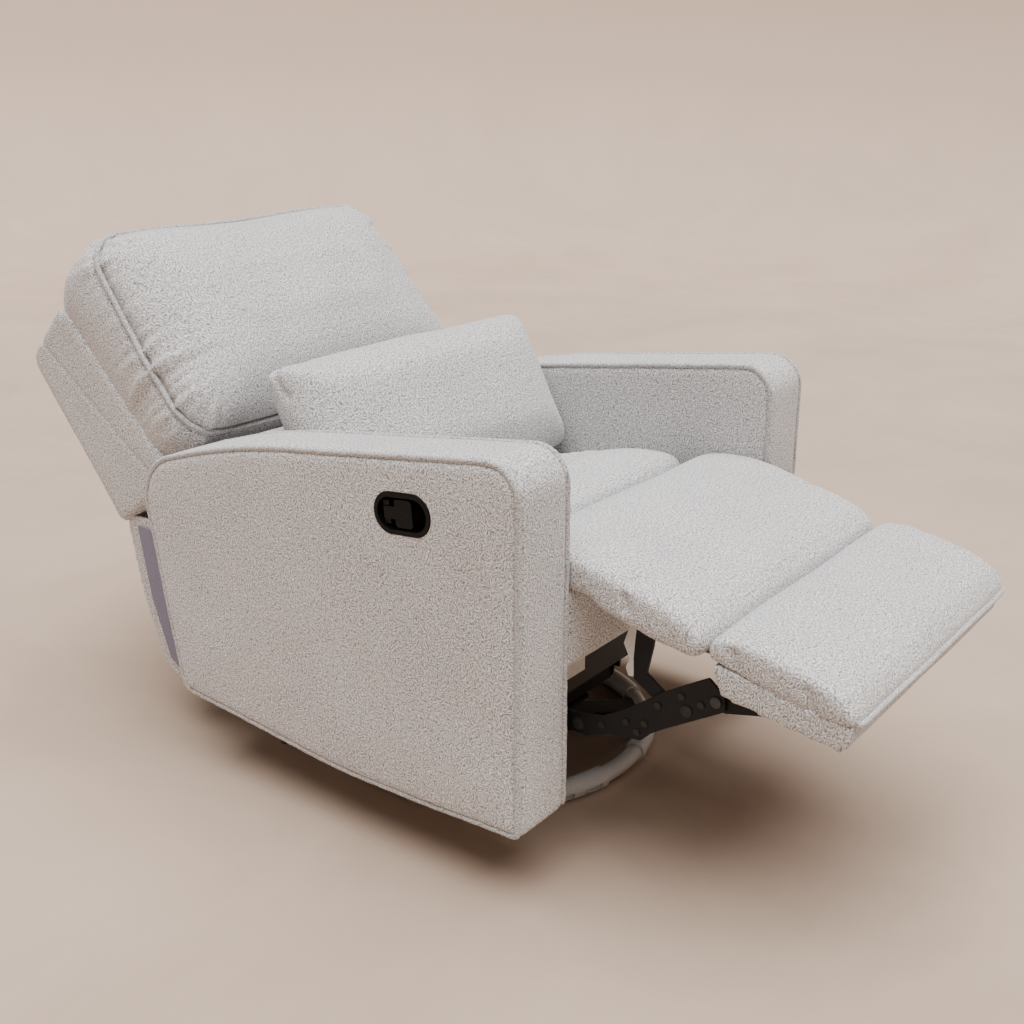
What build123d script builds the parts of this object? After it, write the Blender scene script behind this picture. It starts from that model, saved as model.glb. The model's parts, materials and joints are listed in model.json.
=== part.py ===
from build123d import *
import math
import os

os.makedirs("parts", exist_ok=True)

# Axes: +Z up, front of the chair towards -Y, handle side -X, all sizes in millimetres
CHAIR_WIDTH = 740
ARM_THICKNESS = 108
ARM_WALL = 14
ARM_EDGE_ROUND = 13
ARM_FOOT_INSET = 28
BODY_GAP = 0.4
RUNNING_CLEARANCE = 0.05
HALF_WIDTH = CHAIR_WIDTH / 2
ARM_INNER = HALF_WIDTH - ARM_THICKNESS

# Side by side from the arms inwards: seat rail, linkage planes, upright, glide link, carriage rail
RAIL_ARM_GAP = 8
RAIL_WIDTH = 9.5
LINKAGE_GAP = 8.5
PLANE_STEP = 5
UPRIGHT_GAP = 31
LINK_STEP = 7
RAIL_OUT = ARM_INNER - RAIL_ARM_GAP
RAIL_X = RAIL_OUT - RAIL_WIDTH
OTTOMAN_X = RAIL_X - LINKAGE_GAP
CRANK_X = OTTOMAN_X - PLANE_STEP
THIGH_X = CRANK_X - PLANE_STEP
SIDE_PLATE_X = THIGH_X - PLANE_STEP
UPRIGHT_INNER = SIDE_PLATE_X - UPRIGHT_GAP
LINK_INNER = UPRIGHT_INNER - LINK_STEP
RAIL_INNER = LINK_INNER - LINK_STEP
PLATE_THICKNESS = 4
LINK_THICKNESS = 4
RAIL_THICKNESS = 5

# Floor ring and swivel: heights above the floor, places from the swivel axis
FLOOR = 20
SWIVEL_Y = -70
RING_RADIUS = 251
TUBE_RADIUS = 12.5
TUBE_HEIGHT = 15.5
GLIDE_RADIUS = 16.3
GLIDE_ARC = 24
GLIDE_COUNT = 8
SPOKE_WIDTH = 44
SPOKE_LOW = 8
SPOKE_HIGH = 22
HUB_RADIUS = 55
HUB_HIGH = 40
KING_PIN_RADIUS = 10
SWIVEL_PLATE = 230
SWIVEL_PLATE_HIGH = 46

# Glider
GLIDE_PIVOT_Y = 115
GLIDE_PIVOT_TOP = 236
GLIDE_PIVOT_LOW = 112
GLIDE_PIN_RADIUS = 6
GLIDE_PIVOTS = (SWIVEL_Y - GLIDE_PIVOT_Y, SWIVEL_Y + GLIDE_PIVOT_Y)

# Seat body
SEAT_FALL = 0.24
SEAT_SLOPE = math.degrees(math.atan(SEAT_FALL))
SEAT_SIDE_GAP = 6
SEAT_HALF_WIDTH = ARM_INNER - SEAT_SIDE_GAP
SEAT_FRONT = -284
SEAT_REAR = 185
SEAT_TOP_FRONT = 466
SEAT_THICKNESS = 70
BEAM_LOW = 262
BEAM_HIGH = 282
BEAM_HALF = 45
FRONT_FACE = -399
FRONT_RAIL_LOW = 317
FRONT_RAIL_HIGH = 426
FRONT_RAIL_REAR = FRONT_FACE + 28
DECK_LOW = FRONT_RAIL_HIGH - 19
DECK_REAR = -290
CROSS_FRONT = -322
CROSS_DEPTH = 20
SEAT_RAIL_LOW = 220
SEAT_RAIL_REAR = 210
STRETCHER_FRONT = -340
STRETCHER_STEEL = 4

# Back, drawn upright and then laid back by the recline angle about the corner point
RECLINE = 45
BACK_CORNER = (250, 330)
BACK_INSET = 65
BACK_HALF_WIDTH = HALF_WIDTH - BACK_INSET
CUSHION_LOW = 126
CUSHION_HIGH = 500
SHELL_FRONT = 50
CUSHION_REAR = 50.6
CUSHION_SEAM = 145
CUSHION_CROWN = 82
CUSHION_REACH = 150
LUMBAR_HEIGHT = 108
PIVOT = (140, 340)
PIVOT_PIN_RADIUS = 6
BRACKET_GAP = 2
BRACKET_THICKNESS = 4
BRACKET_X = RAIL_OUT - BRACKET_GAP - BRACKET_THICKNESS
BRACKET_ROOM = 8
LUMBAR_HALF_WIDTH = BRACKET_X - BRACKET_ROOM

# Footrest linkage points as (y, z), chair seen from the side
SHOULDER = (-270, 210)
KNEE = (-404, 236)
ANKLE = (-600, 328)
FLAP_HINGE = (-432, 424)
FLAP_SLOPE = 13.5
FLAP_LENGTH = 148
FLAP_PIN_RADIUS = 2.2
STRAP_X = 136
STRAP_WIDTH = 14
FOOT_START = (-590, 384)
FOOT_SLOPE = 9
FOOT_LENGTH = 186
FOOT_SIDE_GAP = 7
FOOT_HALF_WIDTH = ARM_INNER - FOOT_SIDE_GAP
DRIVE_TUBE_RADIUS = 9
KNEE_PIN_RADIUS = 5
ANKLE_PIN_RADIUS = 4

# Handle on the near arm
HANDLE_CENTRE = (-228, 522)
HANDLE_TILT = 5.5
BEZEL_LENGTH = 94
BEZEL_HEIGHT = 56
CUP_LENGTH = 84
CUP_HEIGHT = 46
CUP_DEPTH = 27
CUP_WALL = 2

# Pillow
PILLOW_CENTRE = (15, 62.2, 528.2)
PILLOW_LEAN = 30
PILLOW_YAW = 7
PILLOW_ROLL = 2
PILLOW_SIDE_ROOM = 19
PILLOW_WIDTH = 2 * (ARM_INNER - PILLOW_SIDE_ROOM)
PILLOW_HEIGHT = 240
PILLOW_THICKNESS = 125

# Outline of an arm from the side: corners as (y, z, corner radius)
ARM_OUTLINE = [
    (-403, 126, 16), (-100, 114, 900), (233, 141, 24), (294, 489, 85), (85, 556, 1350), (-403, 619, 48),
]


def outline_edges(corners):
    """Straight sides joined by a round at every corner."""
    starts = []
    middles = []
    ends = []
    count = len(corners)
    for i in range(count):
        before = Vector(corners[i - 1][0], corners[i - 1][1])
        here = Vector(corners[i][0], corners[i][1])
        after = Vector(corners[(i + 1) % count][0], corners[(i + 1) % count][1])
        radius = corners[i][2]
        back = (before - here).normalized()
        ahead = (after - here).normalized()
        half = math.radians(back.get_angle(ahead)) / 2
        run = radius / math.tan(half)
        inward = (back + ahead).normalized()
        centre = here + inward * (radius / math.sin(half))
        starts.append(here + back * run)
        middles.append(centre - inward * radius)
        ends.append(here + ahead * run)
    edges = []
    for i in range(count):
        edges.append(Edge.make_three_point_arc(starts[i], middles[i], ends[i]))
        edges.append(Edge.make_line(ends[i], starts[(i + 1) % count]))
    return edges


def inset(corners, depth):
    """The same outline moved inwards by a wall thickness."""
    count = len(corners)
    area = 0
    for i in range(count):
        area += corners[i - 1][0] * corners[i][1] - corners[i][0] * corners[i - 1][1]
    turn = 1 if area > 0 else -1
    lines = []
    for i in range(count):
        a = Vector(corners[i][0], corners[i][1])
        b = Vector(corners[(i + 1) % count][0], corners[(i + 1) % count][1])
        along = (b - a).normalized()
        normal = Vector(-along.Y, along.X) * turn
        lines.append((a + normal * depth, along))
    moved = []
    for i in range(count):
        p, d = lines[i - 1]
        q, e = lines[i]
        cross = d.X * e.Y - d.Y * e.X
        step = ((q.X - p.X) * e.Y - (q.Y - p.Y) * e.X) / cross
        point = p + d * step
        moved.append((point.X, point.Y, max(corners[i][2] - depth, 3)))
    return moved


def side_slab(corners, low_x, high_x):
    """A plate or slab with the given side outline, between two values of x."""
    face = Plane.YZ * make_face(outline_edges(corners))
    return Pos(low_x, 0, 0) * extrude(face, amount=high_x - low_x, dir=(1, 0, 0))


def plain_slab(points, low_x, high_x, radius=3):
    """A side slab whose corners all have the same small round."""
    return side_slab([(y, z, radius) for y, z in points], low_x, high_x)


def bar_x(radius, y, z, low_x, high_x):
    """A round bar across the chair."""
    length = high_x - low_x
    return Pos((low_x + high_x) / 2, y, z) * Rot(0, 90, 0) * Cylinder(radius, length)


def hole_x(radius, y, z):
    """A bar that drills pieces on the +X side."""
    return bar_x(radius, y, z, KING_PIN_RADIUS, HALF_WIDTH)


def on_floor(shape):
    """Puts a piece drawn about the swivel axis at floor level in its place."""
    return Pos(0, SWIVEL_Y, FLOOR) * shape


def block(low, high):
    """A box between two corner points."""
    size = [high[i] - low[i] for i in range(3)]
    middle = [(high[i] + low[i]) / 2 for i in range(3)]
    return Pos(*middle) * Box(*size)


def group(shapes):
    """Separate solids kept together as one piece."""
    solids = []
    for shape in shapes:
        solids += shape.solids()
    return Compound(solids)


def both_sides(shape):
    """A shape made on the +X side together with its mirror image."""
    return [shape, mirror(shape, about=Plane.YZ)]


def soft_loft(width, depth, body, crown, reach, corner, draw=4):
    """A cushion on its flat face: sides drawn in a little, then a crown that domes inwards by reach."""
    rows = [(0, draw), (body * 0.35, draw * 0.3), (body * 0.7, 0), (body, draw * 0.2)]
    last = math.radians(CROWN_ANGLES[-1])
    for angle in CROWN_ANGLES:
        turn = math.radians(angle)
        height = body + crown * math.sin(turn) / math.sin(last)
        rows.append((height, draw * 0.2 + reach * (1 - math.cos(turn)) / (1 - math.cos(last))))
    sections = []
    for height, drawn in rows:
        wide = width - 2 * drawn
        deep = depth - 2 * drawn
        sections.append(Pos(0, 0, height) * RectangleRounded(wide, deep, min(corner, deep * 0.4)))
    return loft(sections)


def lay_back(shape):
    """Back pieces are drawn as x, -forward, up and then laid back."""
    return Pos(0, BACK_CORNER[0], BACK_CORNER[1]) * Rot(-RECLINE, 0, 0) * shape


def back_slab(points, low_x, high_x, radius=3):
    """A slab of the back from (forward, up) points."""
    return lay_back(side_slab([(-n, u, radius) for n, u in points], low_x, high_x))


def sloped(points, start, slope):
    """Points given along and above a line sloping down to the front, as (y, z)."""
    angle = math.radians(slope)
    moved = []
    for along, above in points:
        y = start[0] - along * math.cos(angle) - above * math.sin(angle)
        z = start[1] - along * math.sin(angle) + above * math.cos(angle)
        moved.append((y, z))
    return moved


CROWN_ANGLES = (18, 34, 48, 60, 70, 78)
nodes = {}

# Floor base: ring tube, spokes, hub and clip-on glides with two slots each
ring = Pos(0, 0, TUBE_HEIGHT) * Torus(RING_RADIUS, TUBE_RADIUS)
nodes["base_ring"] = on_floor(ring)

bore = Cylinder(KING_PIN_RADIUS + RUNNING_CLEARANCE, 200)
spoke_height = SPOKE_HIGH - SPOKE_LOW
spoke = Pos(0, 0, (SPOKE_HIGH + SPOKE_LOW) / 2) * Box(2 * RING_RADIUS, SPOKE_WIDTH, spoke_height)
cross = Rot(0, 0, 45) * spoke + Rot(0, 0, -45) * spoke
nodes["base_spokes"] = on_floor(cross - ring - bore)

hub_middle = (SPOKE_HIGH + HUB_HIGH) / 2
hub = Pos(0, 0, hub_middle) * Cylinder(HUB_RADIUS, HUB_HIGH - SPOKE_HIGH) - bore
nodes["base_hub"] = on_floor(hub)

sleeve = Circle(GLIDE_RADIUS) - Circle(TUBE_RADIUS + 0.1)
sleeve = Plane.XZ * Pos(RING_RADIUS, TUBE_HEIGHT) * sleeve
glide = revolve(sleeve, Axis.Z, GLIDE_ARC)
glide = Rot(0, 0, -GLIDE_ARC / 2) * glide
glide = glide - Pos(0, 0, -20) * Box(800, 800, 40)
slot = Pos(RING_RADIUS + GLIDE_RADIUS, 0, TUBE_HEIGHT - 4) * Box(12, 34, 9)
for turn in (-5.5, 5.5):
    glide = glide - Rot(0, 0, turn) * slot
glides = []
for i in range(GLIDE_COUNT):
    glides.append(on_floor(Rot(0, 0, (i + 0.5) * 360 / GLIDE_COUNT) * glide))
nodes["base_glides"] = group(glides)

# Swivel frame: plate on a king pin, two channels and two uprights
plate_low = HUB_HIGH + BODY_GAP
plate_half = SWIVEL_PLATE / 2
plate = block((-plate_half, -plate_half, plate_low), (plate_half, plate_half, SWIVEL_PLATE_HIGH))
king_pin = Pos(0, 0, (SPOKE_LOW + plate_low) / 2) * Cylinder(KING_PIN_RADIUS, plate_low - SPOKE_LOW)
nodes["swivel_plate"] = on_floor(plate + king_pin)

channels = []
for y in (-95, 95):
    low = SWIVEL_PLATE_HIGH
    channel = block((-UPRIGHT_INNER, y - 14, low), (UPRIGHT_INNER, y + 14, low + 20))
    groove = block((-UPRIGHT_INNER, y - 11, low + 3), (UPRIGHT_INNER, y + 11, low + 20))
    channels.append(on_floor(channel - groove))
nodes["swivel_channels"] = group(channels)

upright_half = [(110, FLOOR + SWIVEL_PLATE_HIGH), (135, 225), (135, 252), (95, 252), (50, 150)]
upright_points = [(SWIVEL_Y + y, z) for y, z in upright_half]
upright_points += [(SWIVEL_Y - y, z) for y, z in reversed(upright_half)]
upright = plain_slab(upright_points, UPRIGHT_INNER, UPRIGHT_INNER + 5, 6)
for y in GLIDE_PIVOTS:
    upright -= hole_x(GLIDE_PIN_RADIUS + RUNNING_CLEARANCE, y, GLIDE_PIVOT_TOP)
nodes["swivel_uprights"] = group(both_sides(upright))


def glide_links(y):
    """A pair of hanging links on one tie rod, with the pins they hang from."""
    rod = bar_x(7, y, GLIDE_PIVOT_TOP, -LINK_INNER - 1, LINK_INNER + 1)
    whole = rod
    low = GLIDE_PIVOT_LOW - 15
    high = GLIDE_PIVOT_TOP + 15
    strap_points = [(y - 15, low), (y + 15, low), (y + 15, high), (y - 15, high)]
    strap = plain_slab(strap_points, LINK_INNER, LINK_INNER + LINK_THICKNESS, 14)
    strap -= hole_x(GLIDE_PIN_RADIUS + RUNNING_CLEARANCE, y, GLIDE_PIVOT_LOW)
    strap += bar_x(GLIDE_PIN_RADIUS, y, GLIDE_PIVOT_TOP, LINK_INNER + 1, UPRIGHT_INNER + 6)
    for piece in both_sides(strap):
        whole += piece
    return whole


nodes["glide_links_front"] = glide_links(GLIDE_PIVOTS[0])
nodes["glide_links_rear"] = glide_links(GLIDE_PIVOTS[1])

# Carriage that hangs on the links and carries the seat
rail_half = [(133, 97), (133, 127), (45, 127), (40, BEAM_LOW)]
rail_points = [(SWIVEL_Y + y, z) for y, z in rail_half]
rail_points += [(SWIVEL_Y - y, z) for y, z in reversed(rail_half)]
rail = plain_slab(rail_points, RAIL_INNER, RAIL_INNER + RAIL_THICKNESS, 2)
for y in GLIDE_PIVOTS:
    rail += bar_x(GLIDE_PIN_RADIUS, y, GLIDE_PIVOT_LOW, RAIL_INNER + 1, LINK_INNER + LINK_THICKNESS + 1)
nodes["carriage_rails"] = group(both_sides(rail))
beam = block((-RAIL_X, SWIVEL_Y - BEAM_HALF, BEAM_LOW), (RAIL_X, SWIVEL_Y + BEAM_HALF, BEAM_HIGH))
trough_half = BEAM_HALF - PLATE_THICKNESS
trough = block((-RAIL_X, SWIVEL_Y - trough_half, BEAM_LOW + PLATE_THICKNESS),
               (RAIL_X, SWIVEL_Y + trough_half, BEAM_HIGH))
nodes["carriage_beam"] = beam - trough

# Steel side plates, front stretcher and clip strip
plate_front = STRETCHER_FRONT - 1
side_plate = plain_slab([(plate_front, 182), (60, 182), (60, BEAM_LOW), (plate_front, BEAM_LOW)],
                        SIDE_PLATE_X, SIDE_PLATE_X + PLATE_THICKNESS, 12)
side_plate -= hole_x(DRIVE_TUBE_RADIUS + RUNNING_CLEARANCE, SHOULDER[0], SHOULDER[1])
nodes["side_plates"] = group(both_sides(side_plate))
web_rear = STRETCHER_FRONT + STRETCHER_STEEL
web = block((-SIDE_PLATE_X, STRETCHER_FRONT, 232), (SIDE_PLATE_X, web_rear, 278))
flange = block((-SIDE_PLATE_X, web_rear, 278 - STRETCHER_STEEL), (SIDE_PLATE_X, web_rear + 24, 278))
nodes["front_stretcher"] = web + flange
clip_end = -SIDE_PLATE_X + 25
nodes["stretcher_clip"] = block((clip_end, STRETCHER_FRONT - 1.6, 254), (clip_end + 62, STRETCHER_FRONT, 276))


def seat_top(y):
    """Height of the seat cushion's top at its sides."""
    return SEAT_TOP_FRONT - SEAT_FALL * (y - SEAT_FRONT)


# Wooden seat frame: side rails, front and rear cross rails, front deck
CUSHION_ROOM = 11
rail_front = seat_top(SEAT_FRONT) - SEAT_THICKNESS - CUSHION_ROOM
rail_rear = seat_top(SEAT_RAIL_REAR) - SEAT_THICKNESS - CUSHION_ROOM
seat_rail_points = [(-335, SEAT_RAIL_LOW), (SEAT_RAIL_REAR, SEAT_RAIL_LOW), (SEAT_RAIL_REAR, rail_rear),
                    (SEAT_FRONT, rail_front), (FRONT_RAIL_REAR, rail_front),
                    (FRONT_RAIL_REAR, FRONT_RAIL_LOW + 2), (-335, 300)]
seat_rail = plain_slab(seat_rail_points, RAIL_X, RAIL_OUT, 2)
front_cross = block((-RAIL_X, CROSS_FRONT, 300), (RAIL_X, CROSS_FRONT + CROSS_DEPTH, DECK_LOW))
rear_cross = block((-RAIL_X, SEAT_RAIL_REAR - CROSS_DEPTH - 2, SEAT_RAIL_LOW),
                   (RAIL_X, SEAT_RAIL_REAR, rail_rear - 4))
nodes["seat_cross_rails"] = group([front_cross, rear_cross])
nodes["front_deck"] = block((-RAIL_OUT, FRONT_RAIL_REAR, DECK_LOW), (RAIL_OUT, DECK_REAR, FRONT_RAIL_HIGH))
rail_end = ARM_INNER - 3
front_rail = block((-rail_end, FRONT_FACE, FRONT_RAIL_LOW), (rail_end, FRONT_RAIL_REAR, FRONT_RAIL_HIGH))
nodes["front_rail"] = fillet(front_rail.edges().filter_by(Axis.X).group_by(Axis.Y)[0], 9)

# Zig-zag seat springs between the cross rails
SPRING_WIRE = 1.9
SPRING_PITCH = 25
SPRING_SWING = 24
SPRING_COUNT = 5
SPRING_SIDE_ROOM = 68.5
spring_step = 2 * (RAIL_X - SPRING_SIDE_ROOM) / (SPRING_COUNT - 1)
spring_front = CROSS_FRONT + CROSS_DEPTH + 2
spring_rear = SEAT_RAIL_REAR - CROSS_DEPTH - 4
springs = []
for i in range(SPRING_COUNT):
    middle = (i - (SPRING_COUNT - 1) / 2) * spring_step
    points = [(middle, spring_front)]
    steps = int((spring_rear - spring_front) / SPRING_PITCH) - 1
    for k in range(steps):
        swing = SPRING_SWING if k % 2 == 0 else -SPRING_SWING
        y = spring_front + SPRING_PITCH * (k + 0.5)
        points.append((middle + swing, y))
        points.append((middle + swing, y + SPRING_PITCH))
    points.append((middle, spring_front + SPRING_PITCH * (steps + 1)))
    path = FilletPolyline(*points, radius=11)
    start = Plane(origin=path @ 0, z_dir=path % 0)
    wire = sweep(start * Circle(SPRING_WIRE), path=path)
    spring_height = seat_top(spring_front) - SEAT_THICKNESS - SPRING_WIRE - BODY_GAP
    tilt = Pos(0, spring_front, spring_height) * Rot(-SEAT_SLOPE, 0, 0)
    springs.append(tilt * Pos(0, -spring_front, 0) * wire)
nodes["seat_springs"] = group(springs)

# Seat cushion: drawn-in sides, crowned top, rear corners cut back to clear the back brackets
seat_length = (SEAT_REAR - SEAT_FRONT) / math.cos(math.radians(SEAT_SLOPE))
seat_cushion = soft_loft(2 * SEAT_HALF_WIDTH, seat_length, 56, 30, 100, 38, 8)
notch_width = 2 * (SEAT_HALF_WIDTH - BRACKET_X + BRACKET_ROOM)
for side in (-1, 1):
    notch = Pos(side * SEAT_HALF_WIDTH, seat_length / 2, 30) * Box(notch_width, 2 * 130, 200)
    seat_cushion -= notch
seat_place = Pos(0, SEAT_FRONT, seat_top(SEAT_FRONT) - SEAT_THICKNESS) * Rot(-SEAT_SLOPE, 0, 0)
nodes["seat_cushion"] = seat_place * Pos(0, seat_length / 2, 0) * seat_cushion

# Front seat pad: the rear part of the long leg pad, fixed to the front deck
front_pad = soft_loft(2 * SEAT_HALF_WIDTH, 141, 20, 22, 42, 16)
nodes["front_seat_pad"] = Pos(0, -359.5, FRONT_RAIL_HIGH + 0.4) * front_pad

# Arms: padded covers over a wooden hoop frame
cavity = inset(ARM_OUTLINE, ARM_WALL + 4)
hoop_outer = inset(ARM_OUTLINE, ARM_WALL + 4.4)
hoop_inner = inset(ARM_OUTLINE, ARM_WALL + 24)


def arm_cover():
    """A padded arm on the +X side, rounded on both faces."""
    cover = side_slab(ARM_OUTLINE, ARM_INNER, HALF_WIDTH)
    faces = cover.faces().sort_by(Axis.X)
    cover = fillet(faces[0].edges() + faces[-1].edges(), ARM_EDGE_ROUND)
    return cover - side_slab(cavity, ARM_INNER + ARM_WALL, HALF_WIDTH - ARM_WALL)


def arm_frame():
    """The wooden hoop inside an arm on the +X side."""
    hoop = side_slab(hoop_outer, ARM_INNER + ARM_WALL + 0.5, HALF_WIDTH - ARM_WALL - 0.5)
    return hoop - side_slab(hoop_inner, ARM_INNER, HALF_WIDTH)


BOLT_POINTS = [(-130, 246), (90, 246)]
BOLT_RADIUS = 4
bolt_holes = []
bolts = []
for y, z in BOLT_POINTS:
    bolt_holes.append(bar_x(BOLT_RADIUS + 0.2, y, z, RAIL_X - 10, ARM_INNER + ARM_WALL + 1))
    bolt = bar_x(BOLT_RADIUS, y, z, RAIL_X - 3, ARM_INNER + ARM_WALL + 14)
    bolt += bar_x(9, y, z, RAIL_OUT + 0.1, ARM_INNER - 0.1)
    bolt += bar_x(8, y, z, RAIL_X - 3.6, RAIL_X - 0.1)
    bolt += bar_x(8, y, z, ARM_INNER + ARM_WALL + 0.1, ARM_INNER + ARM_WALL + 6)
    bolts += both_sides(bolt)
nodes["arm_bolts"] = group(bolts)
far_cover = arm_cover()
drilled_rail = seat_rail
for hole in bolt_holes:
    far_cover -= hole
    drilled_rail -= hole
nodes["seat_rails"] = group(both_sides(drilled_rail))

# Cable hole and handle opening in the near arm
handle_place = Pos(-HALF_WIDTH, HANDLE_CENTRE[0], HANDLE_CENTRE[1]) * Rot(-HANDLE_TILT, 0, 0)


def handle_slot(length, height, low, high):
    """A slot-ended block across the arm face; low and high are depths outwards from the face."""
    face = Plane.YZ * SlotOverall(length, height)
    solid = Pos(-high, 0, 0) * extrude(face, amount=high - low, dir=(1, 0, 0))
    return handle_place * solid


CABLE_RADIUS = 2.5
CABLE_LOW = 206
CABLE_Y = -214
near_cover = mirror(far_cover, about=Plane.YZ)
near_cover -= handle_slot(CUP_LENGTH + 0.6, CUP_HEIGHT + 0.6, -ARM_WALL - 2, 10)
near_cover -= bar_x(CABLE_RADIUS + 1, CABLE_Y, CABLE_LOW, -ARM_INNER - ARM_WALL - 2, -ARM_INNER + 2)
nodes["arm_cover_near"] = near_cover
nodes["arm_cover_far"] = far_cover
nodes["arm_frame_far"] = arm_frame()
nodes["arm_frame_near"] = mirror(arm_frame(), about=Plane.YZ)
foot = Pos(HALF_WIDTH - ARM_FOOT_INSET, 35, 118) * Cylinder(13, 18)
foot = foot - side_slab(ARM_OUTLINE, ARM_INNER, HALF_WIDTH)
nodes["arm_feet"] = group(both_sides(foot.solids().sort_by(Axis.Z)[0]))

# Handle: bezel with a finger pocket, paddle on a pin, release cable and pawl
bezel = handle_slot(BEZEL_LENGTH, BEZEL_HEIGHT, 0.2, 4)
bezel = fillet(bezel.faces().sort_by(Axis.X)[0].edges(), 2)
bezel += handle_slot(CUP_LENGTH, CUP_HEIGHT, -CUP_DEPTH, 1)
bezel -= handle_slot(CUP_LENGTH - 2 * CUP_WALL, CUP_HEIGHT - 2 * CUP_WALL, -CUP_DEPTH + CUP_WALL, 6)
PADDLE_PIN_Y = 27
PADDLE_PIN_RADIUS = 2.5


def handle_box(low, high):
    """A box in the handle's own frame: along the chair, up the arm, outwards."""
    return handle_place * block((-high[2], low[0], low[1]), (-low[2], high[0], high[1]))


pin_hole = handle_place * Pos(4, PADDLE_PIN_Y, 0) * Cylinder(PADDLE_PIN_RADIUS + RUNNING_CLEARANCE, 60)
for low, high in ((8.4, 15), (-15, -8.4)):
    ear = handle_box((PADDLE_PIN_Y - 5, low, -CUP_DEPTH + 1), (PADDLE_PIN_Y + 5, high, 0))
    bezel += ear
bezel -= pin_hole
nodes["handle_bezel"] = bezel
paddle = handle_box((-16, -18, -3), (12, 18, 2.4))
paddle = fillet(paddle.edges().filter_by(Axis.X), 5)
paddle += handle_box((8, -8, -4.5), (PADDLE_PIN_Y + 4, 8, 1.6))
paddle += handle_place * Pos(4, PADDLE_PIN_Y, 0) * Cylinder(PADDLE_PIN_RADIUS, 27)
nodes["handle_paddle"] = paddle

CABLE_INSET = 36
cable_x = -HALF_WIDTH + CABLE_INSET
cable_points = [(cable_x, CABLE_Y, 470), (cable_x, CABLE_Y, CABLE_LOW), (-OTTOMAN_X, CABLE_Y, CABLE_LOW)]
cable_path = FilletPolyline(*cable_points, radius=40)
cable_start = Plane(origin=cable_path @ 0, z_dir=cable_path % 0)
nodes["release_cable"] = sweep(cable_start * Circle(CABLE_RADIUS), path=cable_path)
PAWL_PIVOT = (-212, 236)
PAWL_PIN_RADIUS = 3
pawl_points = [(-204, 198), (-199, 214), (-202, 246), (-222, 246),
               (-243, 241), (-246, 229), (-224, 226), (-214, 200)]
pawl = plain_slab(pawl_points, THIGH_X, THIGH_X + PLATE_THICKNESS, 3)
pawl -= hole_x(PAWL_PIN_RADIUS + RUNNING_CLEARANCE, PAWL_PIVOT[0], PAWL_PIVOT[1])
nodes["release_pawl"] = mirror(pawl, about=Plane.YZ)
pawl_out = THIGH_X + PLATE_THICKNESS
pawl_pin = bar_x(PAWL_PIN_RADIUS, PAWL_PIVOT[0], PAWL_PIVOT[1], SIDE_PLATE_X + PLATE_THICKNESS,
                 pawl_out + 0.7)
pawl_pin += bar_x(6, PAWL_PIVOT[0], PAWL_PIVOT[1], pawl_out + 0.1, pawl_out + 0.7)
nodes["pawl_pin"] = mirror(pawl_pin, about=Plane.YZ)

# Lugs on the seat rails that carry the back's pivot pins
lug = plain_slab([(118, 236), (162, 236), (158, 358), (122, 358)], RAIL_OUT, RAIL_OUT + 4, 14)
lug -= hole_x(PIVOT_PIN_RADIUS + RUNNING_CLEARANCE, PIVOT[0], PIVOT[1])
nodes["back_lugs"] = group(both_sides(lug))


def arm_rear(z):
    """How far back the rear edge of an arm is at a height."""
    low_y, low_z = ARM_OUTLINE[2][:2]
    high_y, high_z = ARM_OUTLINE[3][:2]
    return low_y + (high_y - low_y) * (z - low_z) / (high_z - low_z)


# Rear cloth panel: a shallow tray behind the arms, open to the front and at the top
PANEL_INSET = 70
PANEL_HALF_WIDTH = HALF_WIDTH - PANEL_INSET
PANEL_THICKNESS = 6
panel_outer = [(arm_rear(350) + BODY_GAP, 350, 3), (arm_rear(168) + BODY_GAP, 168, 20), (290, 99, 40),
               (362, 101, 46), (412, 232, 420), (433, 350, 3)]
panel_inner = [(200, 380, 3), (200, 90, 3), (244, 90, 3), (295, 106, 30),
               (357, 108, 40), (406, 233, 414), (428, 380, 3)]
panel = side_slab(panel_outer, -PANEL_HALF_WIDTH, PANEL_HALF_WIDTH)
panel -= side_slab(panel_inner, -PANEL_HALF_WIDTH + PANEL_THICKNESS, PANEL_HALF_WIDTH - PANEL_THICKNESS)
nodes["rear_panel"] = panel
tape_points = [(arm_rear(346) + 2, 346), (arm_rear(346) + 18, 346), (arm_rear(172) + 18, 172),
               (arm_rear(172) + 2, 172)]
tape = plain_slab(tape_points, PANEL_HALF_WIDTH, PANEL_HALF_WIDTH + 1.4, 4)
nodes["rear_tapes"] = group(both_sides(tape))

# Back: brackets with pins, wooden frame, padded shell, lumbar board and the two cushions
shell_outer = [(SHELL_FRONT, 132), (SHELL_FRONT, 466), (-82, 468), (-116, 152), (-46, 134)]
shell_inner = [(SHELL_FRONT + 30, 143), (SHELL_FRONT + 30, 456), (-70, 457), (-104, 163), (-44, 145)]
shell = back_slab(shell_outer, -BACK_HALF_WIDTH, BACK_HALF_WIDTH, 9)
shell -= back_slab(shell_inner, -BACK_HALF_WIDTH + 11, BACK_HALF_WIDTH - 11, 4)
slot_points = [(-6, 120), (46, 120), (46, 150), (-6, 150)]
for piece in both_sides(back_slab(slot_points, BRACKET_X - 2, BRACKET_X + BRACKET_THICKNESS + 2, 2)):
    shell -= piece
nodes["back_shell"] = shell

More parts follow.
